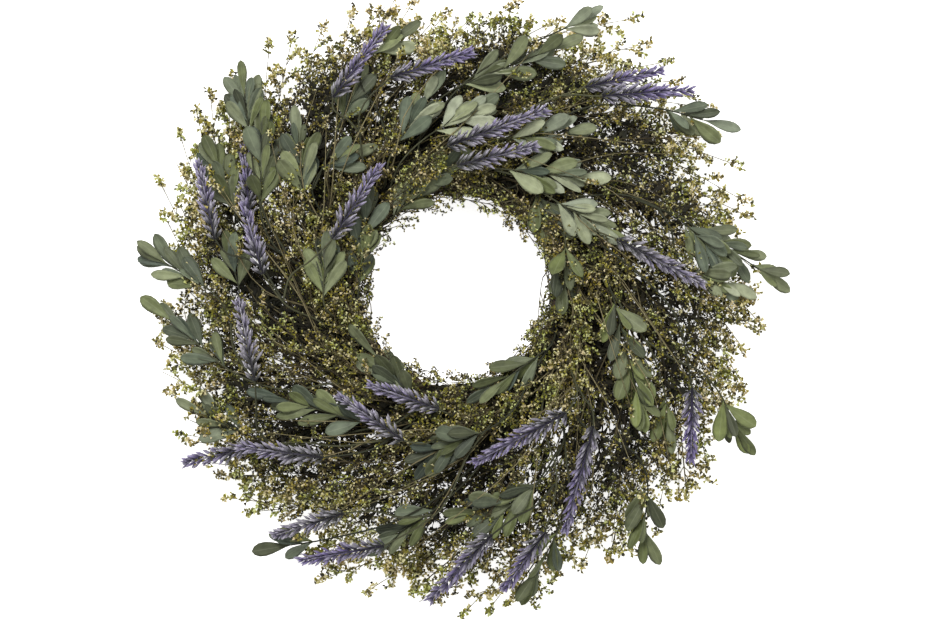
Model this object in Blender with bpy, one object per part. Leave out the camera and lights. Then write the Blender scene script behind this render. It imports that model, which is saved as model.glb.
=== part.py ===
# Lavender wreath, lying on its back with its front up. Metres, +Z up, and the origin is on the
# surface that it lies on, under the middle of the whole wreath. A ring of twisted vines carries
# lavender, leafy stems and seed sprays, which are all rooted on the vines and sweep clockwise.
import math
import random
from dataclasses import dataclass, field

import bmesh
import bpy
import numpy as np
from mathutils import Matrix, Vector
from mathutils.bvhtree import BVHTree
from mathutils.geometry import interpolate_bezier

MM = 0.001
UP = Vector((0, 0, 1))
GAP = 0.3 * MM
FLOOR_GAP = 0.9 * MM
WELD = 0.01 * MM

# The vine ring. Its middle lies off the middle of the wreath, which is fuller on the lower side.
RING_CENTRE = Vector((-5 * MM, 13 * MM, 0))
RING_RADIUS = 84 * MM
VINE_TUBE = 15.5 * MM
VINE_LOBES = 3
VINE_TWIST = 10
VINE_RELIEF = 1.3 * MM
RING_HEIGHT = 13 * MM
RING_STEPS = 40
TUBE_STEPS = 10

# The open middle, and the square in it that no line across a bunch may cut
HOLE_RADIUS = 61.5 * MM
HOLE_SQUARE = 43 * MM
LINE_CHECKS = 15

# The dome of foliage over the ring
LOW_LAYER = 8 * MM
OVER_RING = 36 * MM
UNDERSIDE_RISE = 24 * MM
TOP_LAYER = 86 * MM
DOME_RADIUS = 114 * MM
OUTER_EDGE = 222 * MM
OUTER_FALL = 46 * MM
INNER_FALL = 34 * MM

# Stems. The first samples past a root may be near the vines, and the first of a showing stretch
# near its own stalk.
STEM_RADIUS = 1.4 * MM
STEM_TIP_RADIUS = 1 * MM
STEM_POINTS = 4
BEND_PULL = 0.42
RISE_LENGTH = 70 * MM
RISE_SHARE = 0.9
SAMPLE_STEP = 4 * MM
STEM_GAP = 0.7 * MM
ROOT_SAMPLES = 3
FOOT_SAMPLES = 2

# Where a stem is rooted: on a lane of the vines' tube, lying along it at first
LANES = [math.radians(degrees) for degrees in (12, 38, 64, 90, 116, 142)]
HUG_LENGTH = 16 * MM
SEAT_GAP = 0.8 * MM
SEAT_RADIUS = 0.85 * STEM_RADIUS
ROOT_BACK = 40 * MM
ROOT_BACK_SHARE = 0.55
ROOT_NUDGE = 9 * MM
ROOT_NUDGES = range(-3, 4)
INNER_REACH = 15 * MM

# Where a stem may fork off another of its bunch
FORK_SHARES = (0.15, 0.6)
FORK_SHORTEST = 14 * MM
FORK_TURN = math.radians(110)
FORK_LEAN = 0.7

# A stem tries the layers near its own, and takes the clear line that costs least
LAYER_STEP = 0.06
LAYER_STEPS = range(-5, 6)
LAYER_COST = 1.5
LANE_COST = 2
TURN_COST = 3
LENGTH_COST = 1 / (12 * MM)

# Lavender heads
HEAD_SHORTEST = 50 * MM
HEAD_GAP = 0.55 * MM
HEAD_CORE = 2.8 * MM
CORE_TIP_SHARE = 0.25
CORE_SIDES = 6
FLORET_LENGTH = 13.5 * MM
FLORET_RADIUS = 2.3 * MM
FLORET_BELLY = 0.45
FLORET_RING = 3
FLORET_SPACING = 12.9 * MM
FLORET_SINK = 1.4 * MM
FLORET_LEAN = math.radians(30)
FLORET_TAPER = 0.35
FIRST_WHORL = 0.25

# Leaves. The rows are how far along the blade, and how wide there.
LEAF_LENGTH = 27 * MM
LEAF_WIDTH = 11.5 * MM
LEAF_THICKNESS = 0.7 * MM
LEAF_ROWS = [(0, 0), (0.42, 0.84), (0.8, 0.94), (1, 0)]
LAST_LEAF = 20 * MM
LEAF_LEANS = (math.radians(30), math.radians(46))
LEAF_ROLL = 0.5
LEAF_SIZES = (0.86, 1.1)
LEAF_CURLS = (-0.05, 0.12)
PAIR_FOOT = 0.35
PAIR_STAGGER = 0.2
LAST_LEAF_BACK = 0.01
LEAF_FREE = 0.25
LEAF_TURNS = (1, 0.45, 1.5, -0.6)
LEAF_LIFTS = (0.1, 0.35, -0.15, 0.6, -0.4, 0.9, -0.65)

# Seed sprays, in threes: two out to the edge and one inside. Each is a fan of branchlets, larger
# than life, that are cut to the rib in one thin blade.
SPRAY_SEED = 7
SPRAY_BUNCHES = 9
SPRAY_PLACES = (0, 0.5, 0.25)
SPRAY_TURN_DRAW = 0.06
SPRAY_REACH_DRAW = 7 * MM
FAN_RIB = 1.2 * MM
FAN_THICKNESS = 0.8 * MM
FAN_ROOT = 6 * MM
FAN_STALK_TIP = 0.38 * MM
FAN_ROLLS = (-0.3, 0.3)
GUARD_RADIUS = 3.4 * MM
BRANCH_LENGTH = 33 * MM
BRANCH_TAPER = 0.35
BRANCH_LEAN = math.radians(46)
BRANCH_LIFT_DRAW = 0.16
BRANCH_SIZES = (1, 0.8, 0.6, 0.4, 0.2)
BRANCH_LIFTS = (0, 0.2, -0.2, 0.4, -0.4)
BRANCH_STUB = 0.3 * MM

# Every stem is laid out as seen from the front, in millimetres from the middle of the ring: where
# its showing stretch starts, and its tip. The first of a bunch is rooted on the ring, and the rest
# fork off it.
LAVENDER = [
    [((-139, 31), (-147, 59)), ((-145, 63), (-148, 100)), ((-167, 35), (-180, 89)),
     ((-85, 35), (-53, 85))],
    [((-45, 147), (10, 164)), ((-85, 133), (-50, 182))],
    [((-6, 99), (62, 124)), ((1, 86), (55, 99))],
    [((90, 141), (144, 154)), ((101, 134), (164, 140))],
    [((111, 35), (171, 4)), ((164, -74), (164, -118))],
    [((-92, -116), (-151, -109)), ((-160, -114), (-191, -122)), ((-139, -63), (-150, -8))],
    [((-36, -104), (-80, -74)), ((-25, -78), (-59, -66))],
    [((76, -85), (13, -119)), ((95, -94), (76, -168))],
    [((-50, -178), (-109, -190)), ((-78, -155), (-127, -172))],
    [((62, -168), (34, -209)), ((25, -170), (-18, -217))],
]

# The last figure is how many leaves the stem carries.
LEAFY = [
    [((-136, 56), (-133, 125), 7), ((-144, 108), (-151, 157), 7), ((-154, 52), (-174, 104), 5)],
    [((-92, 85), (-62, 99), 3), ((-106, 63), (-111, 120), 7), ((-81, 115), (-64, 153), 3)],
    [((-43, 98), (-11, 147), 4), ((-60, 164), (-31, 182), 2)],
    [((-48, 48), (4, 94), 6), ((-18, 108), (27, 133), 4)],
    [((-1, 140), (83, 175), 6), ((73, 182), (99, 195), 2)],
    [((34, 105), (94, 112), 5), ((143, 127), (193, 115), 4)],
    [((31, 84), (101, 76), 5), ((67, 63), (116, 35), 5)],
    [((54, 70), (76, 30), 4)],
    [((76, 33), (74, -12), 4)],
    [((157, 48), (192, 15), 5), ((164, 46), (230, 4), 7), ((164, 14), (204, -1), 3)],
    [((109, -4), (132, -94), 9), ((146, -74), (151, -108), 2), ((186, -74), (204, -113), 3)],
    [((59, -133), (17, -168), 6), ((38, -147), (-3, -161), 3), ((134, -133), (131, -189), 3),
     ((73, -164), (48, -217), 3)],
    [((62, -42), (10, -80), 5), ((20, -98), (-32, -119), 7)],
    [((-11, -150), (-57, -182), 4), ((-92, -175), (-136, -183), 2)],
    [((-29, -77), (-69, -31), 5), ((-57, -94), (-139, -71), 7), ((-144, -103), (-193, -80), 4)],
    [((-158, -56), (-216, -8), 5), ((-172, 0), (-221, 29), 6), ((-151, 0), (-160, 35), 3)],
    [((-92, -7), (-90, 36), 5), ((-68, 0), (-61, 68), 6)],
]


@dataclass
class Kind:
    """What the stems of one kind share. The lane is the place on the vines' tube that suits them,
    and clear is the radius kept free round the showing stretch."""
    nodes: str
    finish: str
    layer: float
    lane: int
    clear: float


@dataclass
class SprayShape:
    """An outer or an inner seed spray. An outer one's reach is from the middle of the wreath, and
    an inner one's is from the middle of the ring."""
    reach: float
    length: float
    spread: float
    layer: float
    pairs: int


@dataclass
class Stem:
    kind: str
    bunch: int
    base: Vector
    tip: Vector
    layer: float
    count: int = 0
    line: tuple = ()
    hug: int = 0

    @property
    def stalk(self):
        return self.line[:self.hug + STEM_POINTS]

    @property
    def show(self):
        return self.line[self.hug + STEM_POINTS - 1:]

    @property
    def node(self):
        return f"{KINDS[self.kind].nodes}_{self.bunch + 1:02d}"


@dataclass
class Node:
    """A node's object, the repeats that wait to be joined to it, and the trees of its meshes."""
    item: object
    repeats: object
    trees: list = field(default_factory=list)


@dataclass
class Wreath:
    """The collection of the wreath's nodes, the guides' collection, and the finishes by name."""
    items: object
    guides: object
    finishes: dict
    nodes: dict = field(default_factory=dict)


KINDS = {
    "lavender": Kind("lavender_stalks", "lavender_stalk", layer=0.88, lane=3, clear=7 * MM),
    "leafy": Kind("leafy_stems", "grey_green_leaf", layer=0.66, lane=3, clear=3 * MM),
    "spray": Kind("seed_sprays", "dried_seed_spray", layer=0.14, lane=1, clear=2.5 * MM),
}
OUTER_SPRAY = SprayShape(200 * MM, length=92 * MM, spread=math.radians(46), layer=0.14, pairs=6)
INNER_SPRAY = SprayShape(132 * MM, length=62 * MM, spread=math.radians(24), layer=0.36, pairs=4)
SPRAY_SHAPES = (OUTER_SPRAY, OUTER_SPRAY, INNER_SPRAY)

# Each finish: its colour and roughness
FINISHES = {
    "vine_bark": ((0.12, 0.07, 0.04), 0.85),
    "dried_lavender": ((0.18, 0.13, 0.42), 0.8),
    "lavender_stalk": ((0.14, 0.17, 0.08), 0.8),
    "grey_green_leaf": ((0.17, 0.24, 0.12), 0.6),
    "dried_seed_spray": ((0.3, 0.25, 0.07), 0.85),
}


def smooth(x):
    x = min(1, max(0, x))
    return x * x * (3 - 2 * x)


def layer_height(point, layer):
    """The wreath is a dome over its ring: layer 0 is its underside and layer 1 its top."""
    r = point.xy.length
    low = LOW_LAYER + (OVER_RING - LOW_LAYER) * smooth((DOME_RADIUS - r) / UNDERSIDE_RISE)
    outside = r > DOME_RADIUS
    side = (r - DOME_RADIUS) / (OUTER_EDGE - DOME_RADIUS if outside else DOME_RADIUS - HOLE_RADIUS)
    fall = OUTER_FALL if outside else INNER_FALL
    return low + layer * (TOP_LAYER - fall * side * side - low)


def ring_point(turn, lane, off):
    tube = VINE_TUBE + VINE_RELIEF + off
    reach = RING_RADIUS + tube * math.cos(lane)
    return Vector((reach * math.cos(turn), reach * math.sin(turn), RING_HEIGHT + tube * math.sin(lane)))


def lay_line(start, heading, stem, layer):
    """A stem's points from its start to its tip: a curve to its base, then straight."""
    flat_start = Vector((start.x, start.y, 0))
    aim = (stem.tip - stem.base).normalized()
    run_to_base = (stem.base - flat_start).length
    pull = BEND_PULL * run_to_base
    line = interpolate_bezier(flat_start, flat_start + heading * pull, stem.base - aim * pull,
                              stem.base, STEM_POINTS)
    line.append(stem.tip.copy())
    rise = min(RISE_LENGTH, RISE_SHARE * run_to_base)
    run = 0
    for before, point in zip([line[0]] + line, line):
        run += (point - before).xy.length
        u = min(1, run / rise)
        point.z = start.z + (layer_height(point, layer) - start.z) * (u + smooth(u)) / 2
    return line


def samples(points, radius):
    """Balls along a line, as rows of x, y, z and radius."""
    rows = []
    for a, b in zip(points, points[1:]):
        steps = max(1, math.ceil((b - a).length / SAMPLE_STEP))
        rows += [(*a.lerp(b, k / steps), radius) for k in range(steps)]
    rows.append((*points[-1], radius))
    return np.array(rows)


def room(rows, others):
    """The least gap between two sets of balls."""
    if not len(rows) or not len(others):
        return 1
    apart = np.linalg.norm(rows[:, None, :3] - others[None, :, :3], axis=2)
    return float((apart - rows[:, None, 3] - others[None, :, 3]).min())


def room_in_wreath(rows):
    """The least gap to the vine ring, the surface below and the edge of the hole."""
    r = np.linalg.norm(rows[:, :2], axis=1)
    ring = np.hypot(r - RING_RADIUS, rows[:, 2] - RING_HEIGHT) - VINE_TUBE - VINE_RELIEF
    free = np.minimum(np.minimum(ring, rows[:, 2] - FLOOR_GAP), r - HOLE_RADIUS)
    return float((free - rows[:, 3]).min())


def near_layers(stem):
    """The layers that a stem may lie in, each with its cost."""
    for step in LAYER_STEPS:
        layer = stem.layer + step * LAYER_STEP
        if 0 <= layer <= 1:
            yield layer, LAYER_COST * abs(step)


def root_choices(stem):
    """Places on the ring where a stem could start, as cost, line and points that hug the vines."""
    around = math.atan2(stem.base.y, stem.base.x)
    reach = stem.base.xy.length - RING_RADIUS
    back = ROOT_BACK + ROOT_BACK_SHARE * max(0, reach)
    best_lane = KINDS[stem.kind].lane + (reach < INNER_REACH)
    hug_turn = HUG_LENGTH / RING_RADIUS
    for nudge in ROOT_NUDGES:
        turn = around + (back + nudge * ROOT_NUDGE) / RING_RADIUS
        end = turn - hug_turn
        heading = Vector((math.sin(end), -math.cos(end), 0))
        for number, lane in enumerate(LANES):
            root = ring_point(turn, lane, STEM_RADIUS + SEAT_GAP)
            start = ring_point(end, lane, STEM_RADIUS + SEAT_GAP)
            for layer, layer_cost in near_layers(stem):
                cost = abs(nudge) + LANE_COST * abs(number - best_lane) + layer_cost
                yield cost, [root] + lay_line(start, heading, stem, layer), 1


def fork_choices(stem, parents):
    """Places on the stems of its own bunch where a stem could fork off, given the same way."""
    for parent in parents:
        rail = parent.stalk if stem.kind == "lavender" else parent.line[:-1]
        for i in range(2, len(rail)):
            along = (rail[i] - rail[i - 1]).normalized()
            for share in FORK_SHARES:
                start = rail[i - 1].lerp(rail[i], share)
                to_base = stem.base - Vector((start.x, start.y, 0))
                aim = stem.tip - stem.base
                turn = along.xy.angle(to_base.xy) + to_base.xy.angle(aim.xy)
                if to_base.length < FORK_SHORTEST or turn > FORK_TURN:
                    continue
                flat_along = Vector((along.x, along.y, 0))
                heading = (flat_along + FORK_LEAN * to_base.normalized()).normalized()
                for layer, layer_cost in near_layers(stem):
                    cost = LENGTH_COST * to_base.length + TURN_COST * turn + layer_cost
                    yield cost, lay_line(start, heading, stem, layer), 0


def lay_stems(stems, ring_tree):
    """Each stem in turn takes the cheapest line that is clear of those laid before it. A head keeps
    clear of its own bunch too, where other stems may grow out of one another."""
    laid = []
    for stem in stems:
        kin = [other for other in laid if other[0].node == stem.node]
        strangers = [rows for other in laid if other[0].node != stem.node for rows in other[1:]]
        kin_heads = [show for other, stalk, show in kin if stem.kind == "lavender"]
        kin_stalks = [stalk for other, stalk, show in kin if stem.kind == "lavender"]
        apart = np.concatenate(strangers + kin_heads) if strangers + kin_heads else ()
        own = np.concatenate(kin_stalks) if kin_stalks else ()
        choices = fork_choices(stem, [other[0] for other in kin]) if kin else root_choices(stem)
        best_free = None
        for cost, line, hug in sorted(choices, key=lambda choice: choice[0]):
            rooted = samples(line[:hug + 1], STEM_RADIUS)
            stalk = samples(line[hug:hug + STEM_POINTS], STEM_RADIUS)
            show = samples(line[hug + STEM_POINTS - 1:], KINDS[stem.kind].clear)
            free = min(room_in_wreath(stalk[0 if kin else ROOT_SAMPLES:]), room_in_wreath(show))
            if free > 0:
                whole = np.concatenate([rooted, stalk, show])
                free = min(free, room(whole, apart) - STEM_GAP, room(show[FOOT_SAMPLES:], own))
            if best_free is None or free > best_free:
                best_free, best_rows = free, (np.concatenate([rooted, stalk]), show)
                stem.line, stem.hug = tuple(line), hug
            if free > 0:
                break
        if best_free <= 0:
            print("no clear line for", stem.node, tuple(round(x / MM) for x in stem.base.xy))
        if stem.hug:
            seat(stem, ring_tree)
        laid.append((stem, *best_rows))
    return stems


def seat(stem, ring_tree):
    """Moves a root's first points onto the vines, to within the usual gap."""
    hug = samples(stem.line[:stem.hug + 1], STEM_RADIUS)
    spare = min(ring_tree.find_nearest(row[:3])[3] for row in hug) - SEAT_RADIUS - GAP
    line = [point.copy() for point in stem.line]
    for point in line[:stem.hug + 1]:
        middle = Vector((point.x, point.y, 0)).normalized() * RING_RADIUS + UP * RING_HEIGHT
        point -= (point - middle).normalized() * spare
    stem.line = tuple(line)


def spray_stems():
    """Seed sprays reach the edge all round, each bunch behind the last."""
    draw = random.Random(SPRAY_SEED)
    stems = []
    for bunch in range(SPRAY_BUNCHES):
        for place, shape in zip(SPRAY_PLACES, SPRAY_SHAPES):
            share = bunch + place + draw.uniform(-SPRAY_TURN_DRAW, SPRAY_TURN_DRAW)
            turn = -math.tau * share / SPRAY_BUNCHES
            reach = shape.reach + draw.uniform(-SPRAY_REACH_DRAW, SPRAY_REACH_DRAW)
            tip = Vector((math.cos(turn), math.sin(turn), 0)) * reach
            if shape is OUTER_SPRAY:
                tip -= RING_CENTRE
            heading = math.atan2(tip.y, tip.x) - math.pi / 2 + shape.spread
            aim = Vector((math.cos(heading), math.sin(heading), 0))
            base = tip - aim * shape.length
            stems.append(Stem("spray", bunch, base, tip, shape.layer, shape.pairs))
    return stems


def flat(pair):
    return Vector((pair[0] * MM, pair[1] * MM, 0))


def all_stems():
    stems = []
    for bunch, heads in enumerate(LAVENDER):
        for base, tip in heads:
            run = flat(tip) - flat(base)
            base = flat(tip) - run.normalized() * max(HEAD_SHORTEST, run.length)
            stems.append(Stem("lavender", bunch, base, flat(tip), KINDS["lavender"].layer))
    for bunch, sprigs in enumerate(LEAFY):
        for base, tip, count in sprigs:
            end = flat(tip) - (flat(tip) - flat(base)).normalized() * LAST_LEAF
            stems.append(Stem("leafy", bunch, flat(base), end, KINDS["leafy"].layer, count))
    return stems + spray_stems()


def clear_scene():
    for item in list(bpy.data.objects):
        bpy.data.objects.remove(item)


def plain_material(name, colour, roughness):
    material = bpy.data.materials.new(name)
    material.use_nodes = True
    shader = material.node_tree.nodes["Principled BSDF"]
    shader.inputs["Base Color"].default_value = (*colour, 1)
    shader.inputs["Roughness"].default_value = roughness
    material.diffuse_color = (*colour, 1)
    return material


def add_object(name, mesh, collection):
    item = bpy.data.objects.new(name, mesh)
    collection.objects.link(item)
    return item


def add_node(wreath, name, mesh, finish):
    """Makes a node's object, and a collection for the repeats that will be joined to it."""
    item = add_object(name, mesh, wreath.items)
    mesh.materials.clear()
    mesh.materials.append(wreath.finishes[finish])
    repeats = bpy.data.collections.new(name + "_repeats")
    wreath.guides.children.link(repeats)
    wreath.nodes[name] = Node(item, repeats, [tree_of(mesh)])


def to_mesh(bm, name):
    bmesh.ops.recalc_face_normals(bm, faces=bm.faces)
    mesh = bpy.data.meshes.new(name)
    bm.to_mesh(mesh)
    bm.free()
    return mesh


def tree_of(mesh, grow=0):
    """A search tree of a mesh, which may be swollen a little to keep a gap."""
    bm = bmesh.new()
    bm.from_mesh(mesh)
    bm.normal_update()
    moves = [vert.normal * grow for vert in bm.verts]
    for vert, move in zip(bm.verts, moves):
        vert.co += move
    tree = BVHTree.FromBMesh(bm)
    bm.free()
    return tree


def other_trees(wreath, name):
    return [tree for other, node in wreath.nodes.items() if other != name for tree in node.trees]


def vine_ring():
    """A torus whose tube is pushed out into lobes that wind round it, with a flattened back."""
    bpy.ops.mesh.primitive_torus_add(major_segments=RING_STEPS, minor_segments=TUBE_STEPS,
                                     major_radius=RING_RADIUS, minor_radius=VINE_TUBE)
    ring = bpy.context.object
    for vert in ring.data.vertices:
        turn = math.atan2(vert.co.y, vert.co.x)
        middle = Vector((math.cos(turn), math.sin(turn), 0)) * RING_RADIUS
        out = vert.co - middle
        lane = math.atan2(out.z, out.xy.dot(middle.xy.normalized()))
        relief = VINE_RELIEF * math.cos(VINE_LOBES * lane + VINE_TWIST * turn)
        vert.co = middle + out * (1 + relief / VINE_TUBE)
        vert.co.z = max(vert.co.z, -RING_HEIGHT) + RING_HEIGHT
    mesh = ring.data
    bpy.data.objects.remove(ring)
    return mesh


def stem_section(collection):
    """The three-sided section that every stem's curve is given."""
    section = bpy.data.curves.new("stem_section", "CURVE")
    corners = section.splines.new("POLY")
    corners.points.add(2)
    corners.use_cyclic_u = True
    for k, point in enumerate(corners.points):
        point.co = (math.cos(k * math.tau / 3), math.sin(k * math.tau / 3), 0, 1)
    profile = add_object("stem_section", section, collection)
    profile.hide_render = True
    profile.display_type = "WIRE"
    return profile


def tube(points, profile, collection, root, tip):
    """A tapered stem along a line, as a closed mesh."""
    curve = bpy.data.curves.new("stem", "CURVE")
    curve.dimensions = "3D"
    curve.bevel_mode = "OBJECT"
    curve.bevel_object = profile
    curve.use_fill_caps = True
    spline = curve.splines.new("POLY")
    spline.points.add(len(points) - 1)
    for k, (point, place) in enumerate(zip(spline.points, points)):
        point.co = (*place, 1)
        point.radius = root + (tip - root) * k / (len(points) - 1)
    guide = add_object("stem", curve, collection)
    graph = bpy.context.evaluated_depsgraph_get()
    mesh = bpy.data.meshes.new_from_object(guide.evaluated_get(graph))
    bpy.data.objects.remove(guide)
    bm = bmesh.new()
    bm.from_mesh(mesh)
    bmesh.ops.remove_doubles(bm, verts=bm.verts, dist=WELD)
    return to_mesh(bm, "stem")


def frame_at(point, along, up, turn=0):
    """A frame whose Y runs along a direction and whose Z leans to up, turned about Y."""
    along = along.normalized()
    side = along.cross(up).normalized()
    frame = Matrix((side, along, side.cross(along))).transposed()
    return Matrix.Translation(point) @ (frame @ Matrix.Rotation(turn, 3, "Y")).to_4x4()


def leaf_shape(length, width, curl):
    """A long oval blade with a pointed foot, bent along its length, its foot at the origin."""
    bm = bmesh.new()
    bmesh.ops.create_grid(bm, x_segments=1, y_segments=len(LEAF_ROWS) - 1, size=1)
    rows = sorted({round(vert.co.y, 4) for vert in bm.verts})
    for vert in bm.verts:
        along, half = LEAF_ROWS[rows.index(round(vert.co.y, 4))]
        side = 1 if vert.co.x > 0 else -1
        vert.co = (side * half * width / 2, along * length, curl * length * along * along)
    bmesh.ops.remove_doubles(bm, verts=bm.verts, dist=WELD)
    thicken(bm, LEAF_THICKNESS)
    return bm


def bud_shape(length, belly, belly_at, sink):
    """A slim bud, pointed at both ends, along Y. Its foot is a little behind the origin."""
    bm = bmesh.new()
    neck = length * belly_at
    bmesh.ops.create_cone(bm, cap_ends=True, segments=3, radius1=0, radius2=belly, depth=neck)
    bmesh.ops.remove_doubles(bm, verts=bm.verts, dist=WELD)
    bmesh.ops.translate(bm, verts=bm.verts, vec=(0, 0, neck / 2 - sink))
    top = max(bm.faces, key=lambda face: face.calc_center_median().z)
    bmesh.ops.poke(bm, faces=[top], offset=length - neck)
    bmesh.ops.rotate(bm, verts=bm.verts, matrix=Matrix.Rotation(-math.pi / 2, 3, "X"))
    return bm


def fan_shape(length, tips):
    """A thin blade along Y: a rib with a branchlet out of each side of every step and one at its
    end. The branchlets' tips are given from the foot up, left side first."""
    bm = bmesh.new()
    bmesh.ops.create_grid(bm, x_segments=1, y_segments=len(tips) // 2, size=1)
    for vert in bm.verts:
        vert.co = (vert.co.x * FAN_RIB, (vert.co.y + 1) / 2 * length, 0)
    edges = [edge for edge in bm.edges if edge.is_boundary]
    middles = {edge: (edge.verts[0].co + edge.verts[1].co) / 2 for edge in edges}
    edges = [edge for edge in edges if middles[edge].y > 0]
    edges.sort(key=lambda edge: (round(middles[edge].y, 6), middles[edge].x))
    for edge, tip in zip(edges, tips):
        grown = bmesh.ops.extrude_edge_only(bm, edges=[edge])["geom"]
        ends = [item for item in grown if isinstance(item, bmesh.types.BMVert)]
        bmesh.ops.pointmerge(bm, verts=ends, merge_co=tip)
    bmesh.ops.triangulate(bm, faces=bm.faces)
    thicken(bm, FAN_THICKNESS)
    return bm


def thicken(bm, thickness):
    """Gives a blade its thickness, half to each side."""
    thick = bmesh.ops.extrude_face_region(bm, geom=bm.faces[:])
    for vert in thick["geom"]:
        if isinstance(vert, bmesh.types.BMVert):
            vert.co.z += thickness
    bmesh.ops.translate(bm, verts=bm.verts, vec=(0, 0, -thickness / 2))


def core_shape(length):
    bm = bmesh.new()
    bmesh.ops.create_cone(bm, cap_ends=True, segments=CORE_SIDES, radius1=HEAD_CORE,
                          radius2=HEAD_CORE * CORE_TIP_SHARE, depth=length)
    bmesh.ops.translate(bm, verts=bm.verts, vec=(0, 0, length / 2))
    bmesh.ops.rotate(bm, verts=bm.verts, matrix=Matrix.Rotation(-math.pi / 2, 3, "X"))
    return bm


def side_of(foot, along, around):
    """The direction straight out of a stem at a turn about it."""
    return frame_at(foot, along, UP).to_3x3() @ Vector((math.cos(around), 0, math.sin(around)))


def is_free(mesh, others):
    """Whether a repeat is clear of the other nodes, the surface below and the hole."""
    tree = tree_of(mesh, GAP)
    low = min(vert.co.z for vert in mesh.vertices)
    inner = min(vert.co.xy.length for vert in mesh.vertices)
    return low > 2 * GAP and inner > HOLE_RADIUS and not any(tree.overlap(other) for other in others)


def flat_points(meshes):
    return np.array([vert.co.xy for mesh in meshes for vert in mesh.vertices])


def cuts_hole(points, others):
    """Whether a straight line from one set of points to the other passes over the open middle."""
    shares = np.linspace(0, 1, LINE_CHECKS)[:, None, None, None]
    between = points[None, :, None] + shares * (others[None, None] - points[None, :, None])
    return bool((np.abs(between).max(axis=-1) < HOLE_SQUARE).any())


def leaf_spots(stem, draw):
    """Leaves stand in pairs along the showing stretch, and the last one ends it."""
    foot, tip = stem.show[0], stem.show[-1]
    along = (tip - foot).normalized()
    pairs = max(1, (stem.count + 1) // 2)
    for k in range(stem.count):
        last = k == stem.count - 1
        step = pairs - k // 2 - PAIR_FOOT - PAIR_STAGGER * (k % 2)
        back = LAST_LEAF_BACK if last else step / pairs
        lean = 0 if last else draw.uniform(*LEAF_LEANS) * (1 if k % 2 else -1)
        roll = draw.uniform(-LEAF_ROLL, LEAF_ROLL)
        size = draw.uniform(*LEAF_SIZES)
        yield foot.lerp(tip, 1 - back), along, lean, roll, size, draw.uniform(*LEAF_CURLS)


def try_leaf(spot, others, own, outline):
    """The leaf in the first of a few leans that is clear of other nodes and of its own bunch, and
    that keeps its bunch on its own side of the hole."""
    point, along, lean, roll, size, curl = spot
    for turn, lift in ((turn, lift) for turn in LEAF_TURNS for lift in LEAF_LIFTS):
        heading = (Matrix.Rotation(lean * turn, 3, UP) @ along + UP * lift).normalized()
        blade = []
        for foot in (0, LEAF_FREE):
            bm = leaf_shape(LEAF_LENGTH * size * (1 - foot), LEAF_WIDTH * size, curl)
            place = frame_at(point + heading * foot * LEAF_LENGTH * size, heading, UP, roll)
            bmesh.ops.transform(bm, verts=bm.verts, matrix=place)
            blade.append(to_mesh(bm, "leaf"))
        free = tree_of(blade[1])
        if not is_free(blade[0], others) or any(free.overlap(other) for other in own):
            continue
        if not cuts_hole(flat_points(blade[:1]), outline):
            own.append(free)
            return blade[0]
    return None


def try_floret(stem, k, others):
    foot, tip = stem.show[0], stem.show[-1]
    along = (tip - foot).normalized()
    whorl, place = divmod(k, FLORET_RING)
    share = (whorl + FIRST_WHORL) * FLORET_SPACING / (tip - foot).length
    side = side_of(foot, along, (place + 0.5 * (whorl % 2)) * math.tau / FLORET_RING)
    size = 1 - FLORET_TAPER * share
    core = HEAD_CORE * (1 - (1 - CORE_TIP_SHARE) * share)
    root = foot.lerp(tip, share) + side * core
    heading = along * math.cos(FLORET_LEAN) + side * math.sin(FLORET_LEAN)
    bm = bud_shape(FLORET_LENGTH * size, FLORET_RADIUS * size, FLORET_BELLY, FLORET_SINK * size)
    bmesh.ops.transform(bm, verts=bm.verts, matrix=frame_at(root, heading, side))
    mesh = to_mesh(bm, "floret")
    return mesh if is_free(mesh, others) else None


def branch_tip(stem, k, size, lift):
    """Where the tip of branchlet k of a fan lies, in the fan's own frame. The last one ends it."""
    run = (stem.show[-1] - stem.show[0]).length
    pair, right = divmod(k, 2)
    share = pair / stem.count
    reach = BRANCH_LENGTH * (1 - BRANCH_TAPER * share) * size
    if pair == stem.count:
        return Vector((0, run + reach / 2, lift * reach / 2))
    out = FAN_RIB + reach * math.sin(BRANCH_LEAN)
    return Vector((out if right else -out, share * run + reach * math.cos(BRANCH_LEAN), lift * reach))


def try_branch(stem, k, place, others, draw):
    """The tip of the longest branchlet that finds room, or else of a stub."""
    run = (stem.show[-1] - stem.show[0]).length
    pair, right = divmod(k, 2)
    foot = Vector((FAN_RIB if right else -FAN_RIB, pair * run / stem.count, 0))
    droop = draw.uniform(-BRANCH_LIFT_DRAW, BRANCH_LIFT_DRAW)
    for size in BRANCH_SIZES:
        for lift in BRANCH_LIFTS:
            tip = branch_tip(stem, k, size, droop + lift)
            bm = bmesh.new()
            corners = [foot, foot + Vector((0, run / stem.count, 0)), tip]
            if pair == stem.count:
                corners = [foot, Vector((-foot.x, foot.y, 0)), tip]
            bm.faces.new([bm.verts.new(corner) for corner in corners])
            thicken(bm, FAN_THICKNESS)
            bmesh.ops.transform(bm, verts=bm.verts, matrix=place)
            if is_free(to_mesh(bm, "branchlet"), others):
                return tip
    middle = (corners[0] + corners[1]) / 2
    return middle + Vector((BRANCH_STUB * (1 if right else -1), 0, 0))


def fan(stem, others, draw):
    """A fan of branchlets along a spray's showing stretch, each as long as finds room."""
    along = stem.show[-1] - stem.show[0]
    place = frame_at(stem.show[0], along, UP, draw.uniform(*FAN_ROLLS))
    tips = [try_branch(stem, k, place, others, draw) for k in range(2 * stem.count + 1)]
    bm = fan_shape(along.length, tips)
    bmesh.ops.transform(bm, verts=bm.verts, matrix=place)
    return to_mesh(bm, "fan")


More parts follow.
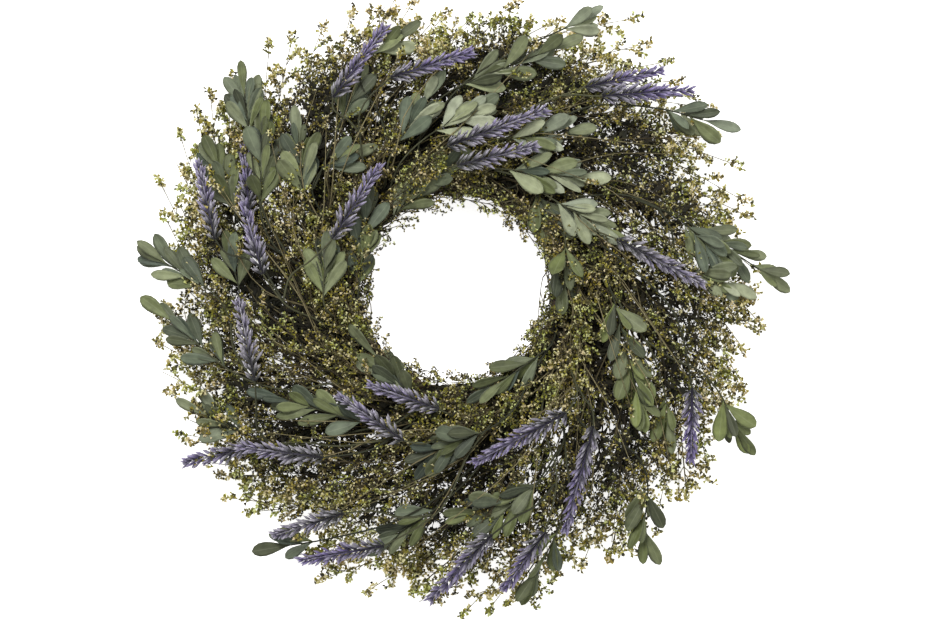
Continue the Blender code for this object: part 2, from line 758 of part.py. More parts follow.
def fuse(node):
    """Joins a node's repeats to it and removes them."""
    if node.repeats.objects:
        union = node.item.modifiers.new("join", "BOOLEAN")
        union.operation = "UNION"
        union.operand_type = "COLLECTION"
        union.collection = node.repeats
        union.solver = "MANIFOLD"
        graph = bpy.context.evaluated_depsgraph_get()
        joined = bpy.data.meshes.new_from_object(node.item.evaluated_get(graph))
        node.item.modifiers.clear()
        node.item.data = joined
    for repeat in list(node.repeats.objects):
        bpy.data.objects.remove(repeat)
    bpy.data.collections.remove(node.repeats)
    node.trees = [tree_of(node.item.data)]


def add_stems(wreath, stems):
    """One node for each bunch. A lavender stalk stops just short of its head, and a spray's ends in
    its fan, whose rib's place is kept free by a guard."""
    profile = stem_section(wreath.guides)
    for stem in stems:
        aim = (stem.show[-1] - stem.show[0]).normalized()
        points = {
            "lavender": stem.stalk[:-1] + (stem.stalk[-1] - aim * HEAD_GAP,),
            "leafy": stem.line,
            "spray": stem.stalk + (stem.stalk[-1] + aim * FAN_ROOT,),
        }[stem.kind]
        tip = FAN_STALK_TIP if stem.kind == "spray" else STEM_TIP_RADIUS
        mesh = tube(points, profile, wreath.guides, STEM_RADIUS, tip)
        if stem.node in wreath.nodes:
            node = wreath.nodes[stem.node]
            node.trees.append(tree_of(mesh))
            add_object("stem", mesh, node.repeats)
        else:
            add_node(wreath, stem.node, mesh, KINDS[stem.kind].finish)
        if stem.kind == "spray":
            guard = tube(stem.show, profile, wreath.guides, GUARD_RADIUS, GUARD_RADIUS)
            wreath.nodes[stem.node].trees.append(tree_of(guard))
    bpy.data.objects.remove(profile)


def add_heads(wreath, heads):
    """Every head's core stands before the first floret is set, so that no floret meets one."""
    names = {f"lavender_head_{number:02d}": stem for number, stem in enumerate(heads, 1)}
    for name, stem in names.items():
        foot, tip = stem.show[0], stem.show[-1]
        bm = core_shape((tip - foot).length)
        bmesh.ops.transform(bm, verts=bm.verts, matrix=frame_at(foot, tip - foot, UP))
        add_node(wreath, name, to_mesh(bm, name), "dried_lavender")
    for name, stem in names.items():
        others = other_trees(wreath, name)
        whorls = int((stem.show[-1] - stem.show[0]).length / FLORET_SPACING)
        florets = [try_floret(stem, k, others) for k in range(whorls * FLORET_RING)]
        finish_node(wreath.nodes[name], florets)


def finish_node(node, repeats):
    """Joins the repeats that found room, and says how many didn't."""
    for mesh in repeats:
        if mesh:
            add_object(mesh.name, mesh, node.repeats)
    fuse(node)
    if None in repeats:
        print(node.item.name, "has no room for", repeats.count(None), "of its repeats")


def add_leaves(wreath, stems):
    draw = random.Random("leafy")
    for name in sorted({stem.node for stem in stems}):
        node = wreath.nodes[name]
        others = other_trees(wreath, name)
        own = list(node.trees)
        leaves = []
        for stem in (stem for stem in stems if stem.node == name):
            for spot in leaf_spots(stem, draw):
                grown = [node.item.data] + [piece.data for piece in node.repeats.objects]
                outline = flat_points(grown + [leaf for leaf in leaves if leaf])
                leaves.append(try_leaf(spot, others, own, outline))
        finish_node(node, leaves)


def add_fans(wreath, stems):
    draw = random.Random("spray")
    for name in sorted({stem.node for stem in stems}):
        others = other_trees(wreath, name)
        own = []
        for stem in (stem for stem in stems if stem.node == name):
            own.append(fan(stem, others, draw))
        finish_node(wreath.nodes[name], own)


def main():
    clear_scene()
    finishes = {name: plain_material(name, *look) for name, look in FINISHES.items()}
    items, guides = (bpy.data.collections.new(name) for name in ("lavender_wreath", "guides"))
    wreath = Wreath(items, guides, finishes)
    for collection in (items, guides):
        bpy.context.scene.collection.children.link(collection)

    add_node(wreath, "vine_ring", vine_ring(), "vine_bark")
    stems = lay_stems(all_stems(), wreath.nodes["vine_ring"].trees[0])
    kinds = {kind: [stem for stem in stems if stem.kind == kind] for kind in KINDS}
    add_stems(wreath, stems)
    add_heads(wreath, kinds["lavender"])
    add_leaves(wreath, kinds["leafy"])
    add_fans(wreath, kinds["spray"])
    for name in {stem.node for stem in kinds["lavender"]} | {"vine_ring"}:
        fuse(wreath.nodes[name])
    bpy.data.collections.remove(wreath.guides)
    for item in wreath.items.objects:
        item.data.transform(Matrix.Translation(RING_CENTRE))
        item.data.update()


main()
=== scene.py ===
import math
import random

import bpy
import numpy as np
from mathutils import Matrix, Vector
from mathutils.bvhtree import BVHTree
from mathutils.geometry import interpolate_bezier


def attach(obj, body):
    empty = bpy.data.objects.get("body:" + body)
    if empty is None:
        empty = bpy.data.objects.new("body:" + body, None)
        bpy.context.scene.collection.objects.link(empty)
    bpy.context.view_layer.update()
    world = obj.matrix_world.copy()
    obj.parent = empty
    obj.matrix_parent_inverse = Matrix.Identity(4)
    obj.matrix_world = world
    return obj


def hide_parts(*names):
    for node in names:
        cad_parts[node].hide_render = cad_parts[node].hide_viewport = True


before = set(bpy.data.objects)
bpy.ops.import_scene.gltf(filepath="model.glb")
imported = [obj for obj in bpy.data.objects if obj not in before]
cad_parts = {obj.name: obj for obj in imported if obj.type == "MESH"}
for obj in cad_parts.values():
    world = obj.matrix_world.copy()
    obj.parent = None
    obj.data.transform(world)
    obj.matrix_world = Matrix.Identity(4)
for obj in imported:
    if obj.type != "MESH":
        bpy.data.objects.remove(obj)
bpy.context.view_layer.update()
mm = 0.001
up = Vector((0, 0, 1))

# The wreath's form, as its solids have it. Everything is laid out from the middle of the ring.
form = {
    "ringCentre": Vector((-5, 13, 0)) * mm,
    "ringRadius": 84 * mm,
    "vineTube": 15.5 * mm,
    "vineRelief": 1.3 * mm,
    "ringHeight": 13 * mm,
    "holeRadius": 61.5 * mm,
    "lowLayer": 8 * mm,
    "overRing": 36 * mm,
    "undersideRise": 24 * mm,
    "topLayer": 86 * mm,
    "domeRadius": 114 * mm,
    "outerEdge": 222 * mm,
    "outerFall": 46 * mm,
    "innerFall": 34 * mm,
}

# How the stems are rooted, bent and forked
stemRules = {
    "radius": 1.4 * mm,
    "points": 4,
    "pull": 0.42,
    "riseLength": 70 * mm,
    "riseShare": 0.9,
    "lanes": [math.radians(degrees) for degrees in (12, 38, 64, 90, 116, 142)],
    "hugLength": 16 * mm,
    "seatGap": 0.8 * mm,
    "rootBack": 40 * mm,
    "rootBackShare": 0.55,
    "rootNudge": 9 * mm,
    "rootNudges": range(-3, 4),
    "forkShares": (0.15, 0.6),
    "forkShortest": 14 * mm,
    "forkTurn": math.radians(110),
    "forkLean": 0.7,
    "layerStep": 0.06,
    "layerSteps": range(-5, 6),
    "looseFit": 3e-5,  # square metres, summed over a stem's points
}

# Where each lavender head shows, in millimetres, from its foot to its tip
lavenderBunches = [
    [((-139, 31), (-147, 59)), ((-145, 63), (-148, 100)), ((-167, 35), (-180, 89)),
     ((-85, 35), (-53, 85))],
    [((-45, 147), (10, 164)), ((-85, 133), (-50, 182))],
    [((-6, 99), (62, 124)), ((1, 86), (55, 99))],
    [((90, 141), (144, 154)), ((101, 134), (164, 140))],
    [((111, 35), (171, 4)), ((164, -74), (164, -118))],
    [((-92, -116), (-151, -109)), ((-160, -114), (-191, -122)), ((-139, -63), (-150, -8))],
    [((-36, -104), (-80, -74)), ((-25, -78), (-59, -66))],
    [((76, -85), (13, -119)), ((95, -94), (76, -168))],
    [((-50, -178), (-109, -190)), ((-78, -155), (-127, -172))],
    [((62, -168), (34, -209)), ((25, -170), (-18, -217))],
]

# The same for each leafy sprig, with its number of leaves
leafyBunches = [
    [((-136, 56), (-133, 125), 7), ((-144, 108), (-151, 157), 7), ((-154, 52), (-174, 104), 5)],
    [((-92, 85), (-62, 99), 3), ((-106, 63), (-111, 120), 7), ((-81, 115), (-64, 153), 3)],
    [((-43, 98), (-11, 147), 4), ((-60, 164), (-31, 182), 2)],
    [((-48, 48), (4, 94), 6), ((-18, 108), (27, 133), 4)],
    [((-1, 140), (83, 175), 6), ((73, 182), (99, 195), 2)],
    [((34, 105), (94, 112), 5), ((143, 127), (193, 115), 4)],
    [((31, 84), (101, 76), 5), ((67, 63), (116, 35), 5)],
    [((54, 70), (76, 30), 4)],
    [((76, 33), (74, -12), 4)],
    [((157, 48), (192, 15), 5), ((164, 46), (230, 4), 7), ((164, 14), (204, -1), 3)],
    [((109, -4), (132, -94), 9), ((146, -74), (151, -108), 2), ((186, -74), (204, -113), 3)],
    [((59, -133), (17, -168), 6), ((38, -147), (-3, -161), 3), ((134, -133), (131, -189), 3),
     ((73, -164), (48, -217), 3)],
    [((62, -42), (10, -80), 5), ((20, -98), (-32, -119), 7)],
    [((-11, -150), (-57, -182), 4), ((-92, -175), (-136, -183), 2)],
    [((-29, -77), (-69, -31), 5), ((-57, -94), (-139, -71), 7), ((-144, -103), (-193, -80), 4)],
    [((-158, -56), (-216, -8), 5), ((-172, 0), (-221, 29), 6), ((-151, 0), (-160, 35), 3)],
    [((-92, -7), (-90, 36), 5), ((-68, 0), (-61, 68), 6)],
]

kinds = {
    "lavender": {"nodes": "lavender_stalks", "layer": 0.88},
    "leafy": {"nodes": "leafy_stems", "layer": 0.66},
    "spray": {"nodes": "seed_sprays"},
}


def smooth(x):
    x = min(1, max(0, x))
    return x * x * (3 - 2 * x)


def layerHeight(point, layer):  # layer 0 is the underside of the foliage, and layer 1 its top
    f = form
    r = math.hypot(point[0], point[1])
    low = f["lowLayer"] + (f["overRing"] - f["lowLayer"]) * smooth((f["domeRadius"] - r)
                                                                   / f["undersideRise"])
    outside = r > f["domeRadius"]
    run = f["outerEdge"] - f["domeRadius"] if outside else f["domeRadius"] - f["holeRadius"]
    side = (r - f["domeRadius"]) / run
    fall = f["outerFall"] if outside else f["innerFall"]
    return low + layer * (f["topLayer"] - fall * side * side - low)


def ringPoint(turn, lane, off):
    tube = form["vineTube"] + form["vineRelief"] + off
    reach = form["ringRadius"] + tube * math.cos(lane)
    return Vector((reach * math.cos(turn), reach * math.sin(turn),
                   form["ringHeight"] + tube * math.sin(lane)))


def layLine(start, heading, stem, layer):  # a curve to the base, then straight to the tip
    rules = stemRules
    flatStart = Vector((start.x, start.y, 0))
    aim = (stem["tip"] - stem["base"]).normalized()
    runToBase = (stem["base"] - flatStart).length
    pull = rules["pull"] * runToBase
    line = interpolate_bezier(flatStart, flatStart + heading * pull, stem["base"] - aim * pull,
                              stem["base"], rules["points"])
    line.append(stem["tip"].copy())
    rise = min(rules["riseLength"], rules["riseShare"] * runToBase)
    run = 0
    for before, point in zip([line[0]] + line, line):
        run += (point - before).xy.length
        u = min(1, run / rise)
        point.z = start.z + (layerHeight(point, layer) - start.z) * (u + smooth(u)) / 2
    return line


def nearLayers(stem):
    for step in stemRules["layerSteps"]:
        layer = stem["layer"] + step * stemRules["layerStep"]
        if 0 <= layer <= 1:
            yield layer


def rootLine(stem, nudge, lane, layer):  # lies along the vines at first
    rules = stemRules
    around = math.atan2(stem["base"].y, stem["base"].x)
    reach = stem["base"].xy.length - form["ringRadius"]
    back = rules["rootBack"] + rules["rootBackShare"] * max(0, reach)
    turn = around + (back + nudge * rules["rootNudge"]) / form["ringRadius"]
    end = turn - rules["hugLength"] / form["ringRadius"]
    heading = Vector((math.sin(end), -math.cos(end), 0))
    root = ringPoint(turn, lane, rules["radius"] + rules["seatGap"])
    start = ringPoint(end, lane, rules["radius"] + rules["seatGap"])
    return [root] + layLine(start, heading, stem, layer)


def rootLines(stem):  # every line that starts on the vines
    for nudge in stemRules["rootNudges"]:
        for lane in stemRules["lanes"]:
            for layer in nearLayers(stem):
                yield rootLine(stem, nudge, lane, layer)


def forkLines(stem, parents):  # every line that forks off a stem of its bunch
    rules = stemRules
    for parent in parents:
        rail = parent["stalk"] if stem["kind"] == "lavender" else parent["line"][:-1]
        for before, after in zip(rail[1:], rail[2:]):
            along = (after - before).normalized()
            for share in rules["forkShares"]:
                start = before.lerp(after, share)
                toBase = stem["base"] - Vector((start.x, start.y, 0))
                turn = along.xy.angle(toBase.xy) + toBase.xy.angle((stem["tip"] - stem["base"]).xy)
                if toBase.length < rules["forkShortest"] or turn > rules["forkTurn"]:
                    continue
                flatAlong = Vector((along.x, along.y, 0))
                heading = (flatAlong + rules["forkLean"] * toBase.normalized()).normalized()
                for layer in nearLayers(stem):
                    yield layLine(start, heading, stem, layer)


def nodeTree(name):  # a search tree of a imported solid, moved to the middle of the ring
    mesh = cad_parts[name].data
    places = [vert.co - form["ringCentre"] for vert in mesh.vertices]
    return BVHTree.FromPolygons(places, [tuple(face.vertices) for face in mesh.polygons])


def misfit(points, tree, limit):  # how far points lie from a solid, squared and summed
    total = 0
    for point in points:
        total += tree.find_nearest(point)[3] ** 2
        if total > limit:
            break
    return total


def layStems(stems):  # each stem takes the line that its solid took
    trees = {stem["node"]: nodeTree(stem["node"]) for stem in stems}
    for i, stem in enumerate(stems):
        kin = [other for other in stems[:i] if other["node"] == stem["node"]]
        stem["hug"] = 0 if kin else 1
        best = 1
        for line in forkLines(stem, kin) if kin else rootLines(stem):
            shown = line[stem["hug"] + 1:-1 if stem["kind"] == "lavender" else None]
            middles = [a.lerp(b, 0.5) for a, b in zip(shown, shown[1:])]
            far = misfit(shown + middles, trees[stem["node"]], best)
            if far < best:
                best, stem["line"] = far, line
        stem["stalk"] = stem["line"][:stem["hug"] + stemRules["points"]]
        stem["show"] = stem["line"][stem["hug"] + stemRules["points"] - 1:]
        if best > stemRules["looseFit"]:
            print("loose fit:", stem["node"], i, round(math.sqrt(best) / mm, 1), "mm")
    return trees


def newStem(kind, bunch, base, tip, layer, count):
    node = f"{kinds[kind]['nodes']}_{bunch + 1:02d}"
    return {"kind": kind, "bunch": bunch, "node": node, "base": base, "tip": tip,
            "layer": layer, "count": count}


def flat(pair):
    return Vector((pair[0], pair[1], 0)) * mm


def pointing(turn):
    return Vector((math.cos(turn), math.sin(turn), 0))


def partWay(pair, share):
    return pair[0] + (pair[1] - pair[0]) * share


# The seed sprays that the solids hold, in threes: two out to the edge and one inside
sprayLayout = {
    "seed": 7,
    "bunches": 9,
    "places": (0, 0.5, 0.25),
    "turnDraw": 0.06,
    "reachDraw": 7 * mm,
    "outer": {"reach": 200 * mm, "length": 92 * mm, "spread": math.radians(46), "layer": 0.14,
              "pairs": 6},
    "inner": {"reach": 132 * mm, "length": 62 * mm, "spread": math.radians(24), "layer": 0.36,
              "pairs": 4},
}


def sprayStems():
    layout = sprayLayout
    draw = random.Random(layout["seed"])
    stems = []
    for bunch in range(layout["bunches"]):
        for place, name in zip(layout["places"], ("outer", "outer", "inner")):
            shape = layout[name]
            share = bunch + place + draw.uniform(-layout["turnDraw"], layout["turnDraw"])
            turn = -math.tau * share / layout["bunches"]
            reach = shape["reach"] + draw.uniform(-layout["reachDraw"], layout["reachDraw"])
            tip = pointing(turn) * reach
            if name == "outer":
                tip -= form["ringCentre"]
            heading = math.atan2(tip.y, tip.x) - math.pi / 2 + shape["spread"]
            base = tip - pointing(heading) * shape["length"]
            stems.append(newStem("spray", bunch, base, tip, shape["layer"], shape["pairs"]))
    return stems


headShortest = 50 * mm
lastLeaf = 20 * mm


def allStems():
    stems = []
    for bunch, heads in enumerate(lavenderBunches):
        for base, tip in heads:
            run = flat(tip) - flat(base)
            base = flat(tip) - run.normalized() * max(headShortest, run.length)
            stems.append(newStem("lavender", bunch, base, flat(tip), kinds["lavender"]["layer"], 0))
    for bunch, sprigs in enumerate(leafyBunches):
        for base, tip, count in sprigs:
            end = flat(tip) - (flat(tip) - flat(base)).normalized() * lastLeaf
            stems.append(newStem("leafy", bunch, flat(base), end, kinds["leafy"]["layer"], count))
    return stems + sprayStems()


def bunchStems(kind, bunch):
    return [stem for stem in stems if stem["kind"] == kind and stem["bunch"] == bunch]


# Meshes are gathered as arrays in a pile, and made into a piece at the end. A mark is a number
# that each point carries for its material.
markNames = ("tone", "fresh", "along", "across")


def newPile():
    return {"points": [], "marks": [], "faces": [], "finish": [], "rounded": [], "count": 0}


def addShape(pile, points, faces, marks, finish=0, rounded=True):
    points = np.asarray(points, float).reshape(-1, 3)
    rows = np.zeros((len(points), len(markNames)))
    for name, value in marks.items():
        rows[:, markNames.index(name)] = np.broadcast_to(value, len(points))
    for block in faces:
        block = np.asarray(block) + pile["count"]
        pile["faces"].append(block)
        pile["finish"].append(np.full(len(block), finish))
        pile["rounded"].append(np.full(len(block), rounded))
    pile["points"].append(points)
    pile["marks"].append(rows)
    pile["count"] += len(points)


tableGap = 0.1 * mm


def makePiece(name, pile, materials, nodes):
    mesh = bpy.data.meshes.new(name)
    points = np.concatenate(pile["points"]) + np.array(form["ringCentre"])
    points[:, 2] = np.maximum(points[:, 2], tableGap)
    faces = [row for block in pile["faces"] for row in block.tolist()]
    mesh.from_pydata(points.tolist(), [], faces)
    marks = np.concatenate(pile["marks"])
    for k, mark in enumerate(markNames):
        if marks[:, k].any():
            layer = mesh.attributes.new(mark, "FLOAT", "POINT")
            layer.data.foreach_set("value", marks[:, k].astype(np.float32))
    mesh.polygons.foreach_set("material_index", np.concatenate(pile["finish"]).astype(np.int32))
    mesh.polygons.foreach_set("use_smooth", np.concatenate(pile["rounded"]).astype(bool))
    for material in materials:
        mesh.materials.append(material)
    mesh.update()
    piece = bpy.data.objects.new(name, mesh)
    bpy.context.scene.collection.objects.link(piece)
    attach(piece, "root")
    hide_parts(*nodes)
    mesh.calc_loop_triangles()
    piece["triangles"] = len(mesh.loop_triangles)


def unit(rows):
    return rows / np.maximum(np.linalg.norm(rows, axis=-1, keepdims=True), 1e-12)


def squareTo(along):  # two unit directions square to each row
    helper = np.where(np.abs(along[..., 2:]) < 0.9, [0.0, 0, 1], [1.0, 0, 0])
    side = unit(np.cross(along, helper))
    return side, np.cross(along, side)


def roundAbout(along, turns, flatten=1):  # the direction square to each row, at each turn round it
    side, over = squareTo(along)
    return side * np.cos(turns) + over * np.sin(turns) * flatten


def flatReach(points):  # how far points stand from the wreath's middle line
    return np.hypot(points[:, 0], points[:, 1])


def addTubes(pile, lines, radii, sides, marks, finish=0, out=None):
    # Every line has the same number of points, and out says where each ring starts
    lines = np.asarray(lines, float)
    n, k = lines.shape[:2]
    along = unit(np.gradient(lines, axis=1))
    if out is None:
        side, over = squareTo(np.broadcast_to(unit(lines[:, -1:] - lines[:, :1]), lines.shape))
        side = unit(np.cross(over, along))
    else:
        side = out
    over = np.cross(along, side)
    turns = np.arange(sides) * math.tau / sides
    ring = (side[:, :, None] * np.cos(turns)[:, None] + over[:, :, None] * np.sin(turns)[:, None])
    rings = lines[:, :, None] + ring * np.broadcast_to(radii, (n, k))[:, :, None, None]
    ends = np.stack([lines[:, 0], lines[:, -1]], axis=1)
    points = np.concatenate([rings.reshape(n, -1, 3), ends], axis=1)
    a, b = np.meshgrid(np.arange(k - 1), np.arange(sides), indexing="ij")
    c = (b + 1) % sides
    quads = np.stack([a * sides + b, a * sides + c, (a + 1) * sides + c, (a + 1) * sides + b], -1)
    b, c = np.arange(sides), (np.arange(sides) + 1) % sides
    foot = np.stack([c, b, np.full(sides, k * sides)], -1)
    tip = np.stack([(k - 1) * sides + b, (k - 1) * sides + c, np.full(sides, k * sides + 1)], -1)
    each = np.arange(n)[:, None, None] * (k * sides + 2)
    faces = [(quads.reshape(1, -1, 4) + each).reshape(-1, 4),
             (np.concatenate([foot, tip])[None] + each).reshape(-1, 3)]
    share = np.concatenate([np.repeat(np.linspace(0, 1, k), sides), [0, 1]])
    marks = {name: np.repeat(np.broadcast_to(value, n), k * sides + 2)
             for name, value in marks.items()}
    marks["along"] = np.tile(share, n)
    addShape(pile, points, faces, marks, finish)


# Chips have four corners each: how far along, aside and over, as shares of their sizes
chipShapes = {
    "husk": ((0, 0, 0), (0.8, 0.5, 0), (1, -0.3, 0.45), (0.9, -0.25, -0.5)),
    "bract": ((0, 0, 0), (0.5, -0.5, 0.5), (0.5, 0.5, 0.5), (1, 0, 0)),
    "spike": ((0, 0.5, 0), (0, -0.25, 0.43), (0, -0.25, -0.43), (1, 0, 0)),
}


def addChips(pile, shape, feet, along, sizes, tone, finish=0):
    # Sizes are each chip's length, width and depth
    along = unit(along)
    axes = np.stack([along, *squareTo(along)], 1)
    corners = np.array(chipShapes[shape])
    sizes = np.stack([np.broadcast_to(size, len(feet)) for size in sizes], 1)
    points = feet[:, None] + (corners[None] * sizes[:, None]) @ axes
    sides = np.array([(0, 2, 1), (0, 1, 3), (1, 2, 3), (2, 0, 3)])
    if np.linalg.det(corners[1:] - corners[0]) < 0:
        sides = sides[:, ::-1]
    faces = (sides[None] + np.arange(len(feet))[:, None, None] * 4).reshape(-1, 3)
    marks = {"tone": np.repeat(np.broadcast_to(tone, len(feet)), 4),
             "along": np.tile(corners[:, 0], len(feet))}
    addShape(pile, points, [faces], marks, finish, rounded=False)


def smoothLine(points, steps):  # a Catmull-Rom curve through the points
    points = [2 * points[0] - points[1]] + list(points) + [2 * points[-1] - points[-2]]
    line = []
    for a, b, c, d in zip(points, points[1:], points[2:], points[3:]):
        for k in range(steps):
            t = k / steps
            line.append(0.5 * (2 * b + (c - a) * t + (2 * a - 5 * b + 4 * c - d) * t * t
                               + (3 * b - a - 3 * c + d) * t ** 3))
    return np.array(line + [points[-2]])


def frameAt(point, along, upward, turn=0):  # Y runs along, and Z leans to upward
    along = along.normalized()
    side = along.cross(upward).normalized()
    axes = Matrix((side, along, side.cross(along))).transposed()
    return Matrix.Translation(point) @ (axes @ Matrix.Rotation(turn, 3, "Y")).to_4x4()


def moved(points, place):
    place = np.array(place)
    return points @ place[:3, :3].T + place[:3, 3]


# Colours and nodes
def linear(code):
    parts = [int(code[i:i + 2], 16) / 255 for i in (1, 3, 5)]
    return tuple(c / 12.92 if c <= 0.04045 else ((c + 0.055) / 1.055) ** 2.4 for c in parts) + (1,)


def addNode(tree, kind, settings=None, links=None):
    # A setting is a property, a socket's value, or the stops of a ramp. A code is a colour.
    node = tree.nodes.new("ShaderNode" + kind)
    for name, value in (settings or {}).items():
        if name == "stops":
            while len(node.color_ramp.elements) < len(value):
                node.color_ramp.elements.new(0.5)
            for stop, (place, code) in zip(node.color_ramp.elements, value):
                stop.position, stop.color = place, linear(code)
        elif isinstance(name, str) and hasattr(node, name):
            setattr(node, name, value)
        else:
            coloured = isinstance(value, str) and value.startswith("#")
            node.inputs[name].default_value = linear(value) if coloured else value
    for name, source in (links or {}).items():
        tree.links.new(source, node.inputs[name])
    return node


# The settings of a Mix that shades one colour with another
multiply = {"data_type": "RGBA", "blend_type": "MULTIPLY", 0: 1.0}


def newFinish(name, settings, marks=()):
    # A material, its tree, its shader, the place on the piece in metres, and the piece's marks
    material = bpy.data.materials.new(name)
    material.use_nodes = True
    tree = material.node_tree
    shader = tree.nodes["Principled BSDF"]
    for socket, value in settings.items():
        shader.inputs[socket].default_value = value
    place = addNode(tree, "TexCoord").outputs["Object"]
    marks = [addNode(tree, "Attribute", {"attribute_name": mark}).outputs["Fac"] for mark in marks]
    return material, tree, shader, place, *marks


def mottle(tree, place, colour, grain, detail, shades, spread=(0, 1)):
    # The colour lightened and darkened by a noise of that grain, and the noise
    noise = addNode(tree, "TexNoise", {"Scale": 1 / grain, "Detail": detail}, {"Vector": place})
    shade = addNode(tree, "MapRange", {"From Min": spread[0], "From Max": spread[1],
                                       "To Min": shades[0], "To Max": shades[1]},
                    {"Value": noise.outputs[0]})
    coat = addNode(tree, "Mix", multiply, {6: colour, 7: shade.outputs[0]})
    return coat.outputs[2], noise.outputs[0]


def dress(tree, shader, colour, height=None, strength=0.4, depth=0.2 * mm):
    tree.links.new(colour, shader.inputs["Base Color"])
    if height:
        bump = addNode(tree, "Bump", {"Strength": strength, "Distance": depth}, {"Height": height})
        tree.links.new(bump.outputs[0], shader.inputs["Normal"])


def lavenderBuds():
    # Lavender calyxes, air dried: a papery, downy skin that scatters light, so it is matt with a
    # faint bloom. Each head runs from grey-green to violet. Each bud is painted darker toward its foot,
    # as shade among the buds, and pales to its tip, partly its own colour and partly a painted highlight.
    material, tree, shader, place, tone, fresh, along = newFinish("airDriedLavender", {
        "Roughness": 0.88, "Sheen Weight": 0.25, "Sheen Roughness": 0.5, "IOR": 1.45},
        ("tone", "fresh", "along"))
    body = addNode(tree, "ValToRGB", {"stops": [
        (0, "#4f5448"), (0.3, "#636164"), (0.6, "#756e87"), (1, "#857c9a")]}, {"Fac": tone})
    upper = addNode(tree, "MapRange", {"From Min": 0.1, "From Max": 0.6, "To Min": 0.15},
                    {"Value": tone})
    kept = addNode(tree, "Math", {"operation": "MULTIPLY"}, {0: fresh, 1: upper.outputs[0]})
    deep = addNode(tree, "Mix", {"data_type": "RGBA", 7: "#6a599e"},
                   {0: kept.outputs[0], 6: body.outputs["Color"]})
    # Painted shade: each bud is darkened to near black toward its foot, where it tucks in among the
    # others
    reach = addNode(tree, "ValToRGB", {"stops": [(0, "#2c2c2c"), (0.35, "#9c9c9c"), (1, "#ffffff")]},
                    {"Fac": along})
    shaded = addNode(tree, "Mix", multiply, {6: deep.outputs[2], 7: reach.outputs["Color"]})
    # The pale tip is partly the buds' own paler tips and partly a painted highlight
    tip = addNode(tree, "MapRange", {"From Min": 0.4, "To Max": 0.8}, {"Value": along})
    paleTipHighlight = addNode(tree, "Mix", {"data_type": "RGBA", 6: "#d4cfd9", 7: "#afa2cf"},
                    {0: kept.outputs[0]})
    pale = addNode(tree, "Mix", {"data_type": "RGBA"},
                   {0: tip.outputs[0], 6: shaded.outputs[2], 7: paleTipHighlight.outputs[2]})
    coat, down = mottle(tree, place, pale.outputs[2], 1.5 * mm, 3, (0.6, 1.3), (0.35, 0.65))
    dress(tree, shader, coat, down, 0.4, 0.3 * mm)
    return material


def greyGreenLeaf():
    # A small evergreen leaf, dried slowly: its wax stays as a dull gloss, its rim and its midrib
    # have bleached, and the blade between them has gone from bright olive to dark grey-green.
    # A leaf that is less than fresh shows its bluish, waxy side.
    material, tree, shader, place, tone, fresh, along, across = newFinish("slowDriedLeaf", {
        "Roughness": 0.58, "IOR": 1.45, "Sheen Weight": 0.1}, ("tone", "fresh", "along", "across"))
    body = addNode(tree, "ValToRGB", {"stops": [
        (0, "#282b20"), (0.35, "#4f543b"), (0.7, "#7f8564"), (1, "#b4b99c")]}, {"Fac": tone})
    bright = addNode(tree, "Mix", {"data_type": "RGBA", 7: "#7d8848"},
                     {0: fresh, 6: body.outputs["Color"]})
    waxy = addNode(tree, "MapRange", {"From Min": 0.0, "From Max": -1.0}, {"Value": fresh})
    cooled = addNode(tree, "Mix", {"data_type": "RGBA", 7: "#56665c"},
                     {0: waxy.outputs[0], 6: bright.outputs[2]})
    blade = mottle(tree, place, cooled.outputs[2], 6 * mm, 4, (0.72, 1.22), (0.3, 0.7))[0]
    off = addNode(tree, "Math", {"operation": "ABSOLUTE"}, {0: across}).outputs[0]
    rim = addNode(tree, "MapRange", {"From Min": 0.82, "To Max": 0.15}, {"Value": off})
    rimmed = addNode(tree, "Mix", {"data_type": "RGBA", 7: "#b3b89e"}, {0: rim.outputs[0], 6: blade})
    rib = addNode(tree, "MapRange", {"From Min": 0.09, "From Max": 0.03, "To Max": 0.12},
                  {"Value": off})
    ribbed = addNode(tree, "Mix", {"data_type": "RGBA", 7: "#b9bf9d"},
                     {0: rib.outputs[0], 6: rimmed.outputs[2]})
    # About nine veins a side, which lean to the tip, under a fine grain
    lean = addNode(tree, "Math", {"operation": "MULTIPLY_ADD", 1: 0.35}, {0: off, 2: along})
    rows = addNode(tree, "Math", {"operation": "MULTIPLY", 1: 60.0}, {0: lean.outputs[0]})
    veins = addNode(tree, "Math", {"operation": "SINE"}, {0: rows.outputs[0]})
    fine = addNode(tree, "TexNoise", {"Scale": 1 / (0.9 * mm), "Detail": 2}, {"Vector": place})
    height = addNode(tree, "Math", {"operation": "MULTIPLY_ADD", 1: 0.25},
                     {0: veins.outputs[0], 2: fine.outputs[0]})
    dress(tree, shader, ribbed.outputs[2], height.outputs[0], 0.35, 0.25 * mm)
    return material


def driedStalk(name, stops):
    # A woody stalk, dried as cut: matt and wrinkled, with darker patches about 2 mm long.
    material, tree, shader, place, tone = newFinish(name, {"Roughness": 0.8, "IOR": 1.45}, ("tone",))
    body = addNode(tree, "ValToRGB", {"stops": stops}, {"Fac": tone})
    coat, wrinkles = mottle(tree, place, body.outputs["Color"], 2 * mm, 4, (0.6, 1.35))
    dress(tree, shader, coat, wrinkles, 0.4, 0.2 * mm)
    return material


